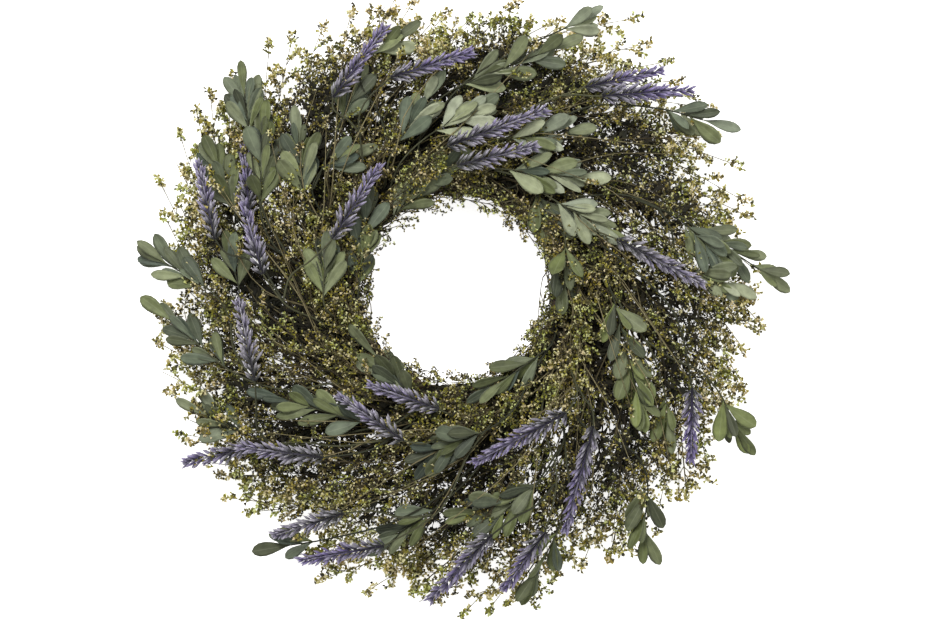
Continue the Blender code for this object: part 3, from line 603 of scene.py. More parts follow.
def driedSeed():
    # Seed husks and bracts, dried on the stem: dull chaff, from near black through khaki to mustard and
    # straw. The near-black end is painted shade, on husks that lie deep and on the bracts, and the thin
    # edge is painted lighter; the rest is the chaff's own colour. Some sprays have gone brown, and some
    # are still olive.
    material, tree, shader, place, tone = newFinish("driedSeedHusk", {
        "Roughness": 0.85, "IOR": 1.45, "Sheen Weight": 0.15}, ("tone",))
    body = addNode(tree, "ValToRGB", {"stops": [
        (0, "#15140c"), (0.2, "#2c291a"), (0.4, "#4a482c"), (0.6, "#6e6b3b"), (0.78, "#958d27"),
        (0.9, "#b1a95c"), (1, "#dfdbbf")]}, {"Fac": tone})
    aged = mottle(tree, place, body.outputs["Color"], 1.5 * mm, 2, (0.65, 1.35))[0]
    cloud = addNode(tree, "TexNoise", {"Scale": 1 / (16 * mm), "Detail": 2}, {"Vector": place})
    hue = addNode(tree, "ValToRGB", {"stops": [(0.38, "#fdeed6"), (0.5, "#fffbdc"),
                                               (0.62, "#e4f0b2")]}, {"Fac": cloud.outputs[0]})
    coat = addNode(tree, "Mix", multiply, {6: aged, 7: hue.outputs["Color"]})
    dress(tree, shader, coat.outputs[2])
    return material


def vineBark():
    # Grapevine, wound green and dried: brown bark in long stringy ridges, with grey on the ridges
    # and near black in the splits.
    material, tree, shader, place, tone, along, across = newFinish("driedGrapevineBark", {
        "Roughness": 0.9, "IOR": 1.45}, ("tone", "along", "across"))
    # Strings of bark about 0.6 mm wide and 9 mm long, and other ones on each vine. The marks run
    # from -1 to 1 across a vine and from 0 to 1 along it, so the scale is how many go into that.
    rows = addNode(tree, "CombineXYZ", {}, {"X": across, "Y": along, "Z": tone})
    drawnOut = addNode(tree, "Mapping", {"Scale": (9, 60, 40)}, {"Vector": rows.outputs[0]})
    strings = addNode(tree, "TexNoise", {"Scale": 1.0, "Detail": 5}, {"Vector": drawnOut.outputs[0]})
    body = addNode(tree, "ValToRGB", {"stops": [
        (0.3, "#1d140d"), (0.47, "#3d2a1b"), (0.6, "#5d452f"), (0.75, "#84705a")]},
        {"Fac": strings.outputs[0]})
    coat = mottle(tree, place, body.outputs["Color"], 14 * mm, 3, (0.6, 1.3))[0]
    dress(tree, shader, coat, strings.outputs[0], 0.7, 0.6 * mm)
    return material


print("finishes")
finishes = {
    "bark": vineBark(),
    "buds": lavenderBuds(),
    "leaf": greyGreenLeaf(),
    "stalk": driedStalk("driedGreenStalk", [(0, "#22251a"), (0.5, "#393b28"), (1, "#5a5a3f")]),
    "twig": driedStalk("driedStrawTwig", [(0, "#231d13"), (0.5, "#524830"), (1, "#948a64")]),
    "seed": driedSeed(),
}

print("stems")
stems = allStems()
trees = layStems(stems)
drawn = np.random.default_rng(11)
hueDrawn = np.random.default_rng(5)

vineLook = {
    "strands": 9,
    "radii": (4.3 * mm, 5.4 * mm),
    "off": 10.3 * mm,
    "turns": 3,
    "steps": 120,
    "sides": 8,
    "wander": 0.9 * mm,
    "waves": (2, 3, 5, 8),
    "waveSizes": (0.2, 0.6),
    "knots": (9, 14),
    "knotSize": 0.06,
    "burrs": 29,
    "burrSize": 0.04,
    "tableRoom": 0.05 * mm,
    "coreRadius": 5.5 * mm,
}

tendrilLook = {
    "count": 7,
    "radius": 0.9 * mm,
    "thin": 0.6,
    "off": 16.2 * mm,
    "turns": (1.4, 2.6),
    "winds": (3, 6),
    "steps": 90,
    "sides": 6,
    "endRun": 8,
    "endLift": 1.6 * mm,
    "sway": 0.8 * mm,
    "sways": 9,
}


def ringLine(turns, off, phase, wind, wander):
    # A line that winds round the ring's tube, with which way is out at each point
    middle = np.stack([np.cos(turns), np.sin(turns), 0 * turns], 1)
    lane = phase + wind * turns
    away = middle * np.cos(lane)[:, None] + np.outer(np.sin(lane), [0, 0, 1])
    reach = off + wander
    line = middle * form["ringRadius"] + away * reach[:, None] + [0, 0, form["ringHeight"]]
    return line, away


def vineRing():
    look = vineLook
    pile = newPile()
    turns = np.linspace(0, math.tau, look["steps"])
    for k in range(look["strands"]):
        waves = sum(drawn.uniform(*look["waveSizes"]) * np.sin(n * turns + drawn.uniform(0, math.tau))
                    for n in look["waves"])
        line, away = ringLine(turns, look["off"], k * math.tau / look["strands"], look["turns"],
                              look["wander"] * waves)
        knots = 1 + look["knotSize"] * np.sin(turns * drawn.integers(*look["knots"]))
        knots += look["burrSize"] * np.sin(turns * look["burrs"] + k)
        radius = drawn.uniform(*look["radii"]) * knots
        line[:, 2] = np.maximum(line[:, 2], radius + look["tableRoom"])
        addStrand(pile, line, radius, away, look["sides"], k / look["strands"])
    core, away = ringLine(turns, 0, 0, 0, 0 * turns)
    addStrand(pile, core, np.full(len(core), look["coreRadius"]), away, look["sides"], 0.5)
    addTendrils(pile)
    makePiece("vineRing", pile, [finishes["bark"]], ["vine_ring"])


def addTendrils(pile):
    look = tendrilLook
    for k in range(look["count"]):
        start = drawn.uniform(0, math.tau)
        part = np.linspace(start, start + drawn.uniform(*look["turns"]), look["steps"])
        ends = np.minimum(1, look["endRun"] * np.minimum(part - part[0], part[-1] - part))
        wind = drawn.choice([-1, 1]) * drawn.uniform(*look["winds"])
        wander = look["endLift"] * (1 - ends) + look["sway"] * np.sin(part * look["sways"])
        line, away = ringLine(part, look["off"], drawn.uniform(0, math.tau), wind, wander)
        line[:, 2] = np.maximum(line[:, 2], look["radius"])
        radius = look["radius"] * (look["thin"] + (1 - look["thin"]) * ends)
        addStrand(pile, line, radius, away, look["sides"], k / vineLook["strands"])


def addStrand(pile, line, radius, away, sides, tone):
    # The bark's strings run along the strand, so its marks say how far along and round a point is
    first = len(pile["marks"])
    addTubes(pile, line[None], radius[None], sides, {"tone": tone}, out=away[None])
    rows = pile["marks"][first]
    rows[:-2, markNames.index("across")] = np.tile(np.sin(np.arange(sides) * math.tau / sides),
                                                  len(line))


print("vine ring")
vineRing()

headLook = {
    "core": (1.1 * mm, 0.5 * mm),
    "coreSteps": 8,
    "coreSides": 7,
    "coreTone": 0.4,
    "spacing": 4.7 * mm,
    "firstWhorl": 0.15,
    "shift": 0.25,
    "places": [math.radians(turn) for turn in (24, -16, -50, 156, 196, 230)],
    "placeDraw": 0.28,
    "sunk": 0.7,
    "length": 11.8 * mm,
    "width": 2.25 * mm,
    "taper": 0.36,
    "footTaper": 0.3,
    "footRun": 5,
    "lean": math.radians(42),
    "leanTaper": 0.45,
    "leanDraw": math.radians(12),
    "sizes": (0.7, 1.2),
    "toneRise": 1.1,
    "toneDraw": 0.2,
    "hueDraw": 0.3,
    "stations": (0, 0.3, 0.7, 1),
    "belly": (0.25, 0.7, 1, 0.1),
    "sides": 4,
    "tuft": {"count": 5, "at": 0.95, "lean": 0.2, "size": 0.5, "tone": 0.95},
}

# How violet each head has stayed, from grey 0 to deep violet 1
headTones = (0.5, 0.6, 0.45, 0.55, 0.75, 0.7, 0.35, 0.25, 0.85, 0.85, 0.15, 0.95, 0.2, 0.5, 0.05,
             0.2, 0.4, 0.6, 0.65, 0.75, 0.1, 0.7, 0.6)


def lavenderHead(number, stem):
    look = headLook
    pile = newPile()
    foot, tip = (np.array(point) for point in (stem["show"][0], stem["show"][-1]))
    run = np.linalg.norm(tip - foot)
    along = (tip - foot) / run
    deep = headTones[number - 1]
    steps = look["coreSteps"]
    spine = foot + along * np.linspace(0, run, steps)[:, None]
    addTubes(pile, spine[None], np.linspace(*look["core"], steps)[None], look["coreSides"],
             {"tone": look["coreTone"], "fresh": deep})
    n = len(look["places"])
    feet, ways, sizes, tones = [], [], [], []
    whorls = int(run / look["spacing"])
    for k in range(whorls):
        share = (k + look["firstWhorl"]) / whorls
        shift = drawn.uniform(-look["shift"], look["shift"], (n, 1)) / whorls
        turns = (look["places"] + drawn.uniform(-1, 1, n) * look["placeDraw"])[:, None]
        out = roundAbout(along[None], turns)
        lean = look["lean"] * (1 - look["leanTaper"] * share)
        lean = lean + drawn.uniform(-1, 1, (n, 1)) * look["leanDraw"]
        core = partWay(look["core"], share)
        feet.append(foot + along * run * (share + shift) + out * core * look["sunk"])
        ways.append(along * np.cos(lean) + out * np.sin(lean))
        full = 1 - look["taper"] * share - look["footTaper"] * max(0, 1 - look["footRun"] * share)
        sizes.append(full * drawn.uniform(*look["sizes"], n))
        tones.append(share * look["toneRise"] + drawn.uniform(-1, 1, n) * look["toneDraw"])
    tuft = look["tuft"]
    turns = (np.arange(tuft["count"]) * math.tau / tuft["count"])[:, None]
    feet.append(np.repeat(foot[None] + along * run * tuft["at"], tuft["count"], 0))
    ways.append(along + roundAbout(along[None], turns) * tuft["lean"])
    sizes.append(np.full(tuft["count"], tuft["size"]))
    tones.append(np.full(tuft["count"], tuft["tone"]))
    feet, ways, sizes, tones = (np.concatenate(rows) for rows in (feet, ways, sizes, tones))
    reach = sizes[:, None] * look["length"] * np.array(look["stations"])
    lines = feet[:, None] + unit(ways)[:, None] * reach[..., None]
    radii = sizes[:, None] * look["width"] / 2 * np.array(look["belly"])
    hues = np.clip(deep + hueDrawn.uniform(-1, 1, len(tones)) * look["hueDraw"], 0, 1)
    addTubes(pile, lines, radii, look["sides"], {"tone": np.clip(tones, 0, 1), "fresh": hues})
    makePiece(f"lavenderHead{number:02d}", pile, [finishes["buds"]],
              [f"lavender_head_{number:02d}"])


print("lavender heads")
for number, stem in enumerate((stem for stem in stems if stem["kind"] == "lavender"), 1):
    lavenderHead(number, stem)

stalkLook = {"steps": 5, "sides": 5, "foot": 0.85 * mm, "tip": 0.5 * mm, "intoHead": 2 * mm,
             "tones": (0.3, 0.9)}


def addStalk(pile, points, tone, finish=0, look=stalkLook):
    line = smoothLine([np.array(point) for point in points], look["steps"])
    radii = np.linspace(look["foot"], look["tip"], len(line))
    addTubes(pile, line[None], radii[None], look["sides"], {"tone": tone}, finish)
    return line


print("lavender stalks")
for bunch in range(len(lavenderBunches)):
    pile = newPile()
    for stem in bunchStems("lavender", bunch):
        aim = (stem["show"][-1] - stem["show"][0]).normalized()
        addStalk(pile, stem["stalk"] + [stem["stalk"][-1] + aim * stalkLook["intoHead"]],
                 drawn.uniform(*stalkLook["tones"]))
    makePiece(f"lavenderStalks{bunch + 1:02d}", pile, [finishes["stalk"]],
              [f"lavender_stalks_{bunch + 1:02d}"])

leafLook = {
    "length": 27 * mm,
    "width": 11.5 * mm,
    "thickness": 0.45 * mm,
    "rows": (0, 0.14, 0.3, 0.47, 0.64, 0.8, 0.93, 1),
    "halves": (0.06, 0.2, 0.52, 0.82, 1, 0.94, 0.6, 0.1),
    "slims": (0.66, 0.98),
    "ease": 0.25,
    "across": (-1, -0.55, 0, 0.55, 1, 0.55, 0, -0.55),
    "under": (0, 0, 0, 0, 0, 1, 1, 1),
    "cup": 0.24,
    "cupPower": 1.5,
    "groove": 0.25 * mm,
    "grooveEnd": 0.95,
    "wave": 0.6 * mm,
    "waves": 6,
    "skew": 0.06,
    "leans": (math.radians(30), math.radians(46)),
    "roll": 0.5,
    "sizes": (0.86, 1.1),
    "curls": (-0.05, 0.12),
    "pairFoot": 0.35,
    "pairStagger": 0.2,
    "lastBack": 0.01,
    "stalkTones": (0.2, 0.8),
    "stemTone": 0.1,
    "tones": (-0.3, 0.25),
    "hues": (-0.6, 0.4),
    "leastFresh": 0.05,
    "turns": (1, 0.45, 1.5, -0.6),
    "lifts": (0.1, 0.35, -0.15, 0.6, -0.4, 0.9, -0.65),
    "marks": ((0, 1), (0.84, 0.42), (-0.94, 0.8)),
    "near": 0.9 * mm,
}

# How light each bunch's leaves are, from dark 0 to bleached 1, and how fresh a green
leafTones = (0.5, 0.5, 0.7, 0.72, 0.72, 0.75, 0.72, 0.5, 0.45, 0.62, 0.55, 0.45, 0.45, 0.45, 0.62,
             0.5, 0.4)
freshBunches = {10: 0.5, 7: 0.3, 8: 0.3, 11: 0.25}


def leafSpots(stem, draw):
    look = leafLook
    foot, tip = stem["show"][0], stem["show"][-1]
    along = (tip - foot).normalized()
    pairs = max(1, (stem["count"] + 1) // 2)
    for k in range(stem["count"]):
        last = k == stem["count"] - 1
        step = pairs - k // 2 - look["pairFoot"] - look["pairStagger"] * (k % 2)
        back = look["lastBack"] if last else step / pairs
        lean = 0 if last else draw.uniform(*look["leans"]) * (1 if k % 2 else -1)
        roll = draw.uniform(-look["roll"], look["roll"])
        size = draw.uniform(*look["sizes"])
        yield foot.lerp(tip, 1 - back), along, lean, roll, size, draw.uniform(*look["curls"])


def leafPlace(point, along, lean, roll, lift):
    heading = (Matrix.Rotation(lean, 3, up) @ along + up * lift).normalized()
    return frameAt(point, heading, up, roll)


def foundPlace(spot, tree):  # where the solid's own leaf lies, by its tip and its two edges
    point, along, lean, roll, size, curl = spot
    look = leafLook
    length, half = look["length"] * size, look["width"] * size / 2
    marks = [Vector((x * half, y * length, curl * length * y * y)) for x, y in look["marks"]]
    best = 1
    for turn in look["turns"]:
        for lift in look["lifts"]:
            place = leafPlace(point, along, lean * turn, roll, lift)
            far = max(tree.find_nearest(place @ mark)[3] for mark in marks)
            if far < best:
                best, found = far, place
    return found if best < look["near"] else None


def addLeaf(pile, place, size, slim, curl, tone, fresh):
    look = leafLook
    fresh += hueDrawn.uniform(*look["hues"])
    t = np.array(look["rows"])[:, None]
    half = np.array(look["halves"])[:, None] * look["width"] * size * slim / 2
    across = np.array(look["across"])[None]
    length = look["length"] * size
    wave = drawn.uniform(-look["wave"], look["wave"]) * across
    wave = wave * np.sin(t * look["waves"] + drawn.uniform(0, look["waves"]))
    fold = look["cup"] * np.abs(across) ** look["cupPower"] * half
    fold = fold - look["groove"] * (across == 0) * (t < look["grooveEnd"])
    x = across * half
    y = t * length + 0 * x
    z = curl * length * t * t + fold + wave - np.array(look["under"])[None] * look["thickness"]
    x = x + drawn.uniform(-look["skew"], look["skew"]) * length * t * t
    points = moved(np.stack([x, y, z], -1).reshape(-1, 3), place)
    rows, ring = len(look["rows"]), len(look["across"])
    a, b = np.meshgrid(np.arange(rows - 1), np.arange(ring), indexing="ij")
    c = (b + 1) % ring
    quads = np.stack([a * ring + b, (a + 1) * ring + b, (a + 1) * ring + c, a * ring + c], -1)
    fan = np.array([(0, k + 1, k + 2) for k in range(ring - 2)])
    caps = np.concatenate([fan, (rows - 1) * ring + fan[:, ::-1]])
    addShape(pile, points, [quads.reshape(-1, 4), caps], {
        "tone": np.clip(tone, 0, 1), "fresh": fresh, "along": np.repeat(look["rows"], ring),
        "across": np.tile(look["across"], rows)})


moreLeaves = {
    "perLeaf": 1.7,
    "shares": (0.05, 1.0),
    "leans": (math.radians(3), math.radians(30)),
    "roll": 0.7,
    "lifts": (-0.5, 0.55),
    "sizes": (0.7, 1.05),
    "slims": (0.66, 0.92),
    "curls": (-0.15, 0.2),
    "tones": (-0.4, 0.2),
}


def leafyBunch(bunch, draw):
    look, more = leafLook, moreLeaves
    pile = newPile()
    name = f"leafy_stems_{bunch + 1:02d}"
    fresh = freshBunches.get(bunch, look["leastFresh"])
    for stem in bunchStems("leafy", bunch):
        addStalk(pile, stem["line"], drawn.uniform(*look["stalkTones"]), finish=1)
        tone = leafTones[bunch] + drawn.uniform(-look["stemTone"], look["stemTone"])
        for spot in leafSpots(stem, draw):
            place = foundPlace(spot, trees[name])
            if place:
                # Each leaf lies a little nearer its stem than on the solid
                place = place @ Matrix.Rotation(-look["ease"] * spot[2], 4, "Z")
                addLeaf(pile, place, spot[4], drawn.uniform(*look["slims"]), spot[5],
                        tone + drawn.uniform(*look["tones"]), fresh)
        foot, tip = stem["show"][0], stem["show"][-1]
        along = (tip - foot).normalized()
        for k in range(int(stem["count"] * more["perLeaf"])):
            share = drawn.uniform(*more["shares"])
            lean = drawn.uniform(*more["leans"]) * (1 if k % 2 else -1)
            place = leafPlace(foot.lerp(tip, share), along, lean,
                              drawn.uniform(-more["roll"], more["roll"]), drawn.uniform(*more["lifts"]))
            addLeaf(pile, place, drawn.uniform(*more["sizes"]), drawn.uniform(*more["slims"]),
                    drawn.uniform(*more["curls"]), tone + drawn.uniform(*more["tones"]), fresh)
    makePiece(f"leafySprigs{bunch + 1:02d}", pile, [finishes["leaf"], finishes["stalk"]],
              [name])


print("leafy sprigs")
leafDraw = random.Random("leafy")
for bunch in range(len(leafyBunches)):
    leafyBunch(bunch, leafDraw)

# The fans that the solids hold, as branchlets out of each side of a rib
fanLook = {
    "rib": 1.2 * mm,
    "rolls": (-0.3, 0.3),
    "length": 33 * mm,
    "taper": 0.35,
    "lean": math.radians(46),
    "draw": 0.16,
    "sizes": (1, 0.8, 0.6, 0.4, 0.2),
    "lifts": (0, 0.2, -0.2, 0.4, -0.4),
    "endShare": 0.5,
    "footStep": 0.3,
    "lastFoot": 0.98,
    "near": 0.9 * mm,
}


def branchTip(stem, run, k, size, lift):
    look = fanLook
    pair, right = divmod(k, 2)
    share = pair / stem["count"]
    reach = look["length"] * (1 - look["taper"] * share) * size
    if pair == stem["count"]:
        reach *= look["endShare"]
        return Vector((0, run + reach, lift * reach))
    out = look["rib"] + reach * math.sin(look["lean"])
    return Vector((out if right else -out, share * run + reach * math.cos(look["lean"]), lift * reach))


def fanBranchlets(stem, tree, draw):  # each branchlet's foot and tip, found on the solid's fan
    look = fanLook
    along = stem["show"][-1] - stem["show"][0]
    place = frameAt(stem["show"][0], along, up, draw.uniform(*look["rolls"]))
    found = []
    for k in range(2 * stem["count"] + 1):
        droop = draw.uniform(-look["draw"], look["draw"])
        share = min(look["lastFoot"], (k // 2 + look["footStep"]) / stem["count"])
        foot = Vector((0, share * along.length, 0))
        for size, lift in ((size, lift) for size in look["sizes"] for lift in look["lifts"]):
            tip = place @ branchTip(stem, along.length, k, size, droop + lift)
            if tree.find_nearest(tip)[3] < look["near"]:
                found.append((place @ foot, tip))
                break
    return found


# How a spray is clothed. Each plume is a curved twig with twiglets, and seed husks on all of them.
sprayLook = {
    "plumePoints": 3,
    "plumeSides": 3,
    "plumeRadius": (0.42 * mm, 0.15 * mm),
    "bow": 0.32,
    "bowAhead": 0.2,
    "shortest": 9 * mm,
    "fullReach": 22 * mm,
    "twigTone": 0.15,
    "twiglets": 7,
    "firstTwiglet": 0.16,
    "twigletPlaces": (0.2, 0.9),
    "twigletLength": 9 * mm,
    "twigletSizes": (0.7, 1.25),
    "twigletTaper": 0.5,
    "twigletWidth": 0.4 * mm,
    "twigletLean": 0.8,
    "twigletLeans": (0.6, 1.2),
    "husks": 6,
    "huskPlaces": (0.4, 1),
    "huskAhead": 0.5,
    "huskLength": (1.5 * mm, 2.9 * mm),
    "huskWidth": (1.2 * mm, 2.2 * mm),
    "edgeHusks": 0.38,
    "clearEdge": (165 * mm, 200 * mm),
}

# How each husk's tone is set: the depth darkening is painted shade on husks low in the dense part, and
# the edge lift is painted light
seedLook = {
    "middleTone": 0.425,
    "toneDraw": 0.31,
    "darkest": 0.02,
    "pale": 0.08,
    "paintedEdgeLight": 0.33,
    "depthShade": 0.88,
    "depthMiddle": 0.5,
    "depths": (-0.2, 0.5),
}

# Where the seeds are lighter or darker than the rest: place, reach and how much, in millimetres
tonePatches = [
    (-18, 171, 40, 0.32), (87, 182, 26, 0.3), (83, -63, 34, 0.26), (-116, 14, 24, 0.28),
    (-60, -161, 34, 0.24), (-108, 62, 16, 0.2), (150, 90, 50, 0.12), (-170, 60, 45, 0.15),
    (-150, -40, 40, 0.06), (20, 160, 30, -0.1), (110, 60, 35, -0.12), (-60, 120, 35, -0.08),
    (120, -115, 40, -0.12), (-30, -140, 30, -0.08), (-110, -90, 30, -0.1), (40, -155, 40, -0.1),
]


def edgeShare(points):  # 0 in the dense part, and 1 in the lacy edge
    low, high = sprayLook["clearEdge"]
    return np.clip((flatReach(points) - low) / (high - low), 0, 1)


def seedTone(points, spread):
    look = seedLook
    tone = np.full(len(points), look["middleTone"])
    for x, y, reach, change in tonePatches:
        far = np.hypot(points[:, 0] / mm - x, points[:, 1] / mm - y) / reach
        tone += change * np.exp(-far * far)
    side = (flatReach(points) - form["domeRadius"]) / (form["outerEdge"] - form["domeRadius"])
    top = form["topLayer"] - form["outerFall"] * side ** 2
    edge = edgeShare(points)
    # Painted shade on the husks that lie low, and painted light on those at the thin edge
    depth = np.clip(look["depthMiddle"] - points[:, 2] / top, *look["depths"])
    tone += look["paintedEdgeLight"] * edge - look["depthShade"] * (1 - edge) * depth
    return np.clip(tone + drawn.normal(0, spread, len(points)), look["darkest"], 1)


def addPlumes(pile, feet, tips, ribs, full=1.0):
    # feet, tips and ribs are rows: where each plume starts and ends, and which way its rib runs
    look = sprayLook
    feet, tips, ribs = (np.array(rows, float) for rows in (feet, tips, unit(np.array(ribs))))
    reach = np.linalg.norm(tips - feet, axis=1)
    feet, tips, ribs, reach = (rows[reach > look["shortest"]] for rows in (feet, tips, ribs, reach))
    n, m, h = len(feet), max(2, round(look["twiglets"] * full)), look["husks"]
    bend = feet + ribs * (reach * look["bow"])[:, None] + (tips - feet) * look["bowAhead"]
    twigTone = seedTone(feet, look["twigTone"])
    at = np.linspace(0, 1, look["plumePoints"])[None, :, None]
    lines = bowed(feet, bend, tips, at)
    addTubes(pile, lines, np.linspace(*look["plumeRadius"], look["plumePoints"])[None],
             look["plumeSides"], {"tone": twigTone}, finish=1)
    at = (np.arange(m) + drawn.uniform(*look["twigletPlaces"], (n, m))) / m
    at = (at * (1 - look["firstTwiglet"]) + look["firstTwiglet"])[..., None]
    starts = bowed(feet, bend, tips, at)
    ahead = unit((1 - at) * (bend - feet)[:, None] + at * (tips - bend)[:, None])
    out = roundAbout(ahead, drawn.uniform(0, math.tau, (n, m, 1)))
    lean = look["twigletLean"] * drawn.uniform(*look["twigletLeans"], (n, m, 1))
    ways = unit(ahead + out * lean)
    length = look["twigletLength"] * np.minimum(1, reach / look["fullReach"])[:, None, None]
    length = length * (1 - look["twigletTaper"] * at) * drawn.uniform(*look["twigletSizes"], (n, m, 1))
    starts, ways, length = starts.reshape(-1, 3), ways.reshape(-1, 3), length.reshape(-1)
    addChips(pile, "spike", starts, ways, (length, look["twigletWidth"], look["twigletWidth"]),
             np.repeat(twigTone, m), finish=1)
    share = (np.arange(h) + drawn.uniform(*look["huskPlaces"], (len(starts), h))) / h
    feet = (starts[:, None] + ways[:, None] * (length[:, None] * share)[..., None]).reshape(-1, 3)
    ways = np.repeat(ways, h, 0) * look["huskAhead"] + unit(drawn.normal(0, 1, (len(feet), 3)))
    tone = seedTone(feet, seedLook["toneDraw"])
    tone[drawn.uniform(0, 1, len(tone)) < seedLook["pale"]] = 1
    sizes = [drawn.uniform(*look[size], len(tone)) * (1 + look["edgeHusks"] * edgeShare(feet))
             for size in ("huskLength", "huskWidth", "huskWidth")]
    addChips(pile, "husk", feet, ways, sizes, tone)


def bowed(feet, bend, tips, at):
    return (1 - at) ** 2 * feet[:, None] + 2 * at * (1 - at) * bend[:, None] + at ** 2 * tips[:, None]


# Slim near-black chips along a stalk, like dead leaves, that fill the depth as painted shade
shadeBractLook = {
    "spacing": 2.2 * mm,
    "length": (6 * mm, 12 * mm),
    "width": (1.6 * mm, 3.2 * mm),
    "keel": 0.6 * mm,
    "lean": 1.6,
    "flatten": 0.5,
    "hole": 66 * mm,
    "reach": 172 * mm,
    "heights": (1 * mm, 42 * mm),
    "tones": (0.0, 0.17),
}


def addShadeBracts(pile, line):
    look = shadeBractLook
    steps = np.diff(line, axis=0)
    run = np.concatenate([[0], np.cumsum(np.linalg.norm(steps, axis=1))])
    n = int(run[-1] / look["spacing"])
    at = np.sort(drawn.uniform(0, run[-1], n))
    feet = np.stack([np.interp(at, run, line[:, k]) for k in range(3)], 1)
    ahead = unit(steps[np.clip(np.searchsorted(run, at) - 1, 0, len(steps) - 1)])
    side, over = squareTo(ahead)
    lean = drawn.uniform(-look["lean"], look["lean"], (2, n, 1))
    ways = unit(ahead + side * lean[0] + over * lean[1] * look["flatten"])
    # The near-black tone is painted shade in the depth of the wreath
    tone = drawn.uniform(*look["tones"], n)
    length = drawn.uniform(*look["length"], n)
    ends = np.concatenate([feet, feet + ways * length[:, None]])
    reach = flatReach(ends)
    clear = (reach.reshape(2, -1).min(0) > look["hole"]) & (reach[:n] < look["reach"])
    low, high = look["heights"]
    keep = clear & (ends[n:, 2] > low) & (ends[n:, 2] < high)
    addChips(pile, "bract", feet[keep], ways[keep],
             (length[keep], drawn.uniform(*look["width"], n)[keep], look["keel"]), tone[keep])


# Finer sprays between those of the solids, from the vines out to the lacy edge
fillLook = {
    "outer": {"count": 27, "bases": (72 * mm, 160 * mm), "lengths": (40 * mm, 72 * mm)},
    "inner": {"count": 8, "bases": (60 * mm, 94 * mm), "lengths": (24 * mm, 40 * mm)},
    "layers": (0.02, 0.7),
    "spread": 0.618,
    "rise": 0.414,
    "evenDraw": 0.15,
    "leans": (math.radians(9), math.radians(50)),
    "leanDraw": math.radians(13),
    "edge": (174 * mm, 201 * mm),
    "stepBack": 4 * mm,
    "holeRoom": 2 * mm,
    "holeEdge": (53 * mm, 62 * mm),
    "bareSide": 0.6,
    "holeWave": 1.5 * mm,
    "holeWaves": 5,
    "onRing": 15 * mm,
    "innerLanes": (2, 6),
    "outerLanes": (0, 4),
    "nudge": 3,
    "stalk": {"steps": 2, "sides": 3, "foot": 0.8 * mm, "tip": 0.3 * mm},
    "tones": (0.1, 0.9),
    "plumes": 10,
    "lastPlume": 0.98,
    "plumeLength": (12 * mm, 24 * mm),
    "plumeTaper": 0.35,
    "plumeLean": (0.45, 0.95),
    "flatten": 0.6,
    "lowest": 5 * mm,
    "full": 0.72,
}

# Where long wisps stand out of the edge, in millimetres
wispTips = [
    (-50, 201), (-60, 193), (-76, 189), (-96, 181), (-118, 172), (-133, 166), (-160, 140), (-173, 128),
    (-182, 118), (-194, 105), (-198, 90), (-208, 72), (-203, 46), (-198, 8), (-205, -40), (-208, -58),
    (-192, -84), (-190, -103), (-172, -122), (-152, -148), (-140, -157), (-112, -187), (-90, -203),
    (-54, -208), (-26, -221), (-8, -214), (10, -224), (27, -221), (72, -198), (92, -188), (110, -178),
    (143, -160), (158, -140), (176, -115), (186, -90), (197, -58), (199, -35), (210, -18), (204, 20),
    (200, 56), (196, 68), (189, 92), (177, 108), (170, 130), (130, 174), (119, 192), (60, 186),
    (36, 198), (8, 187), (-14, 188), (148, 148), (156, 138), (140, 160), (138, 126), (126, 140),
    (-44, 205), (-34, 198), (-152, 146), (-164, 124), (-176, 110), (-150, 128), (-186, 96),
    (-196, -76), (-188, -92), (-178, -108), (-160, -132), (-204, -22), (-196, 60), (-186, 76),
]
wispLook = {
    "lengths": (66 * mm, 92 * mm),
    "lean": math.radians(47),
    "leanDraw": math.radians(5),
    "layers": (0.1, 0.5),
    "plumes": 8,
}

# Bare pale straws that lie over the rest
strawLook = {
    "count": 5,
    "bases": (96 * mm, 160 * mm),
    "lengths": (50 * mm, 80 * mm),
    "layers": (0.62, 0.86),
    "plumes": 2,
    "tones": (0.75, 1),
}

# More sprays where the rest leave it thin, in millimetres, each from its base to its tip
thinPlaces = [
    ((22, -66), (-14, -64)), ((-2, -68), (-34, -57)), ((-54, -44), (-66, -12)), ((-66, -20), (-66, 8)),
    ((-54, 40), (-30, 59)), ((44, 50), (62, 22)), ((62, 24), (67, -8)), ((-12, 140), (22, 184)),
    ((-36, 146), (4, 185)), ((-56, 140), (-20, 184)), ((-100, 122), (-72, 170)), ((48, 130), (88, 164)),
    ((72, 122), (106, 154)), ((-62, 110), (-34, 142)), ((66, -96), (48, -134)), ((112, -100), (96, -136)),
    ((146, -84), (136, -124)), ((-6, -124), (-42, -148)),
]
thinLook = {"layers": (0.2, 0.6), "plumes": 8, "rimPlumes": 6, "rim": 75 * mm}


def fillStem(k, belt, sector):  # the belt's stems are spread evenly over the sector
    look = fillLook
    turn = -(sector + (k + drawn.uniform(0, 1)) / belt["count"]) * math.tau / sprayLayout["bunches"]
    k += sector * belt["count"]
    spread = (k * look["spread"] + drawn.uniform(0, look["evenDraw"])) % 1
    reach = math.sqrt(partWay([base ** 2 for base in belt["bases"]], spread))
    base = pointing(turn) * reach
    low, high = look["outer"]["bases"]
    lean = partWay(look["leans"], smooth((reach - low) / (high - low)))
    heading = turn - math.pi / 2 + lean + drawn.normal(0, look["leanDraw"])
    aim = pointing(heading)
    tip = base + aim * drawn.uniform(*belt["lengths"])
    edge = drawn.uniform(*look["edge"])
    while (tip + form["ringCentre"]).xy.length > edge:
        tip -= aim * look["stepBack"]
    rise = (k * look["rise"] + drawn.uniform(0, look["evenDraw"])) % 1
    return newStem("spray", sector, base, tip, partWay(look["layers"], rise), look["plumes"])


def wispStem(tip, sector):  # a long thin spray whose tip stands out of the edge
    look = wispLook
    turn = math.atan2(tip.y, tip.x)
    heading = turn - math.pi / 2 + look["lean"] + drawn.normal(0, look["leanDraw"])
    base = tip - pointing(heading) * drawn.uniform(*look["lengths"])
    return newStem("spray", sector, base, tip, drawn.uniform(*look["layers"]), look["plumes"])


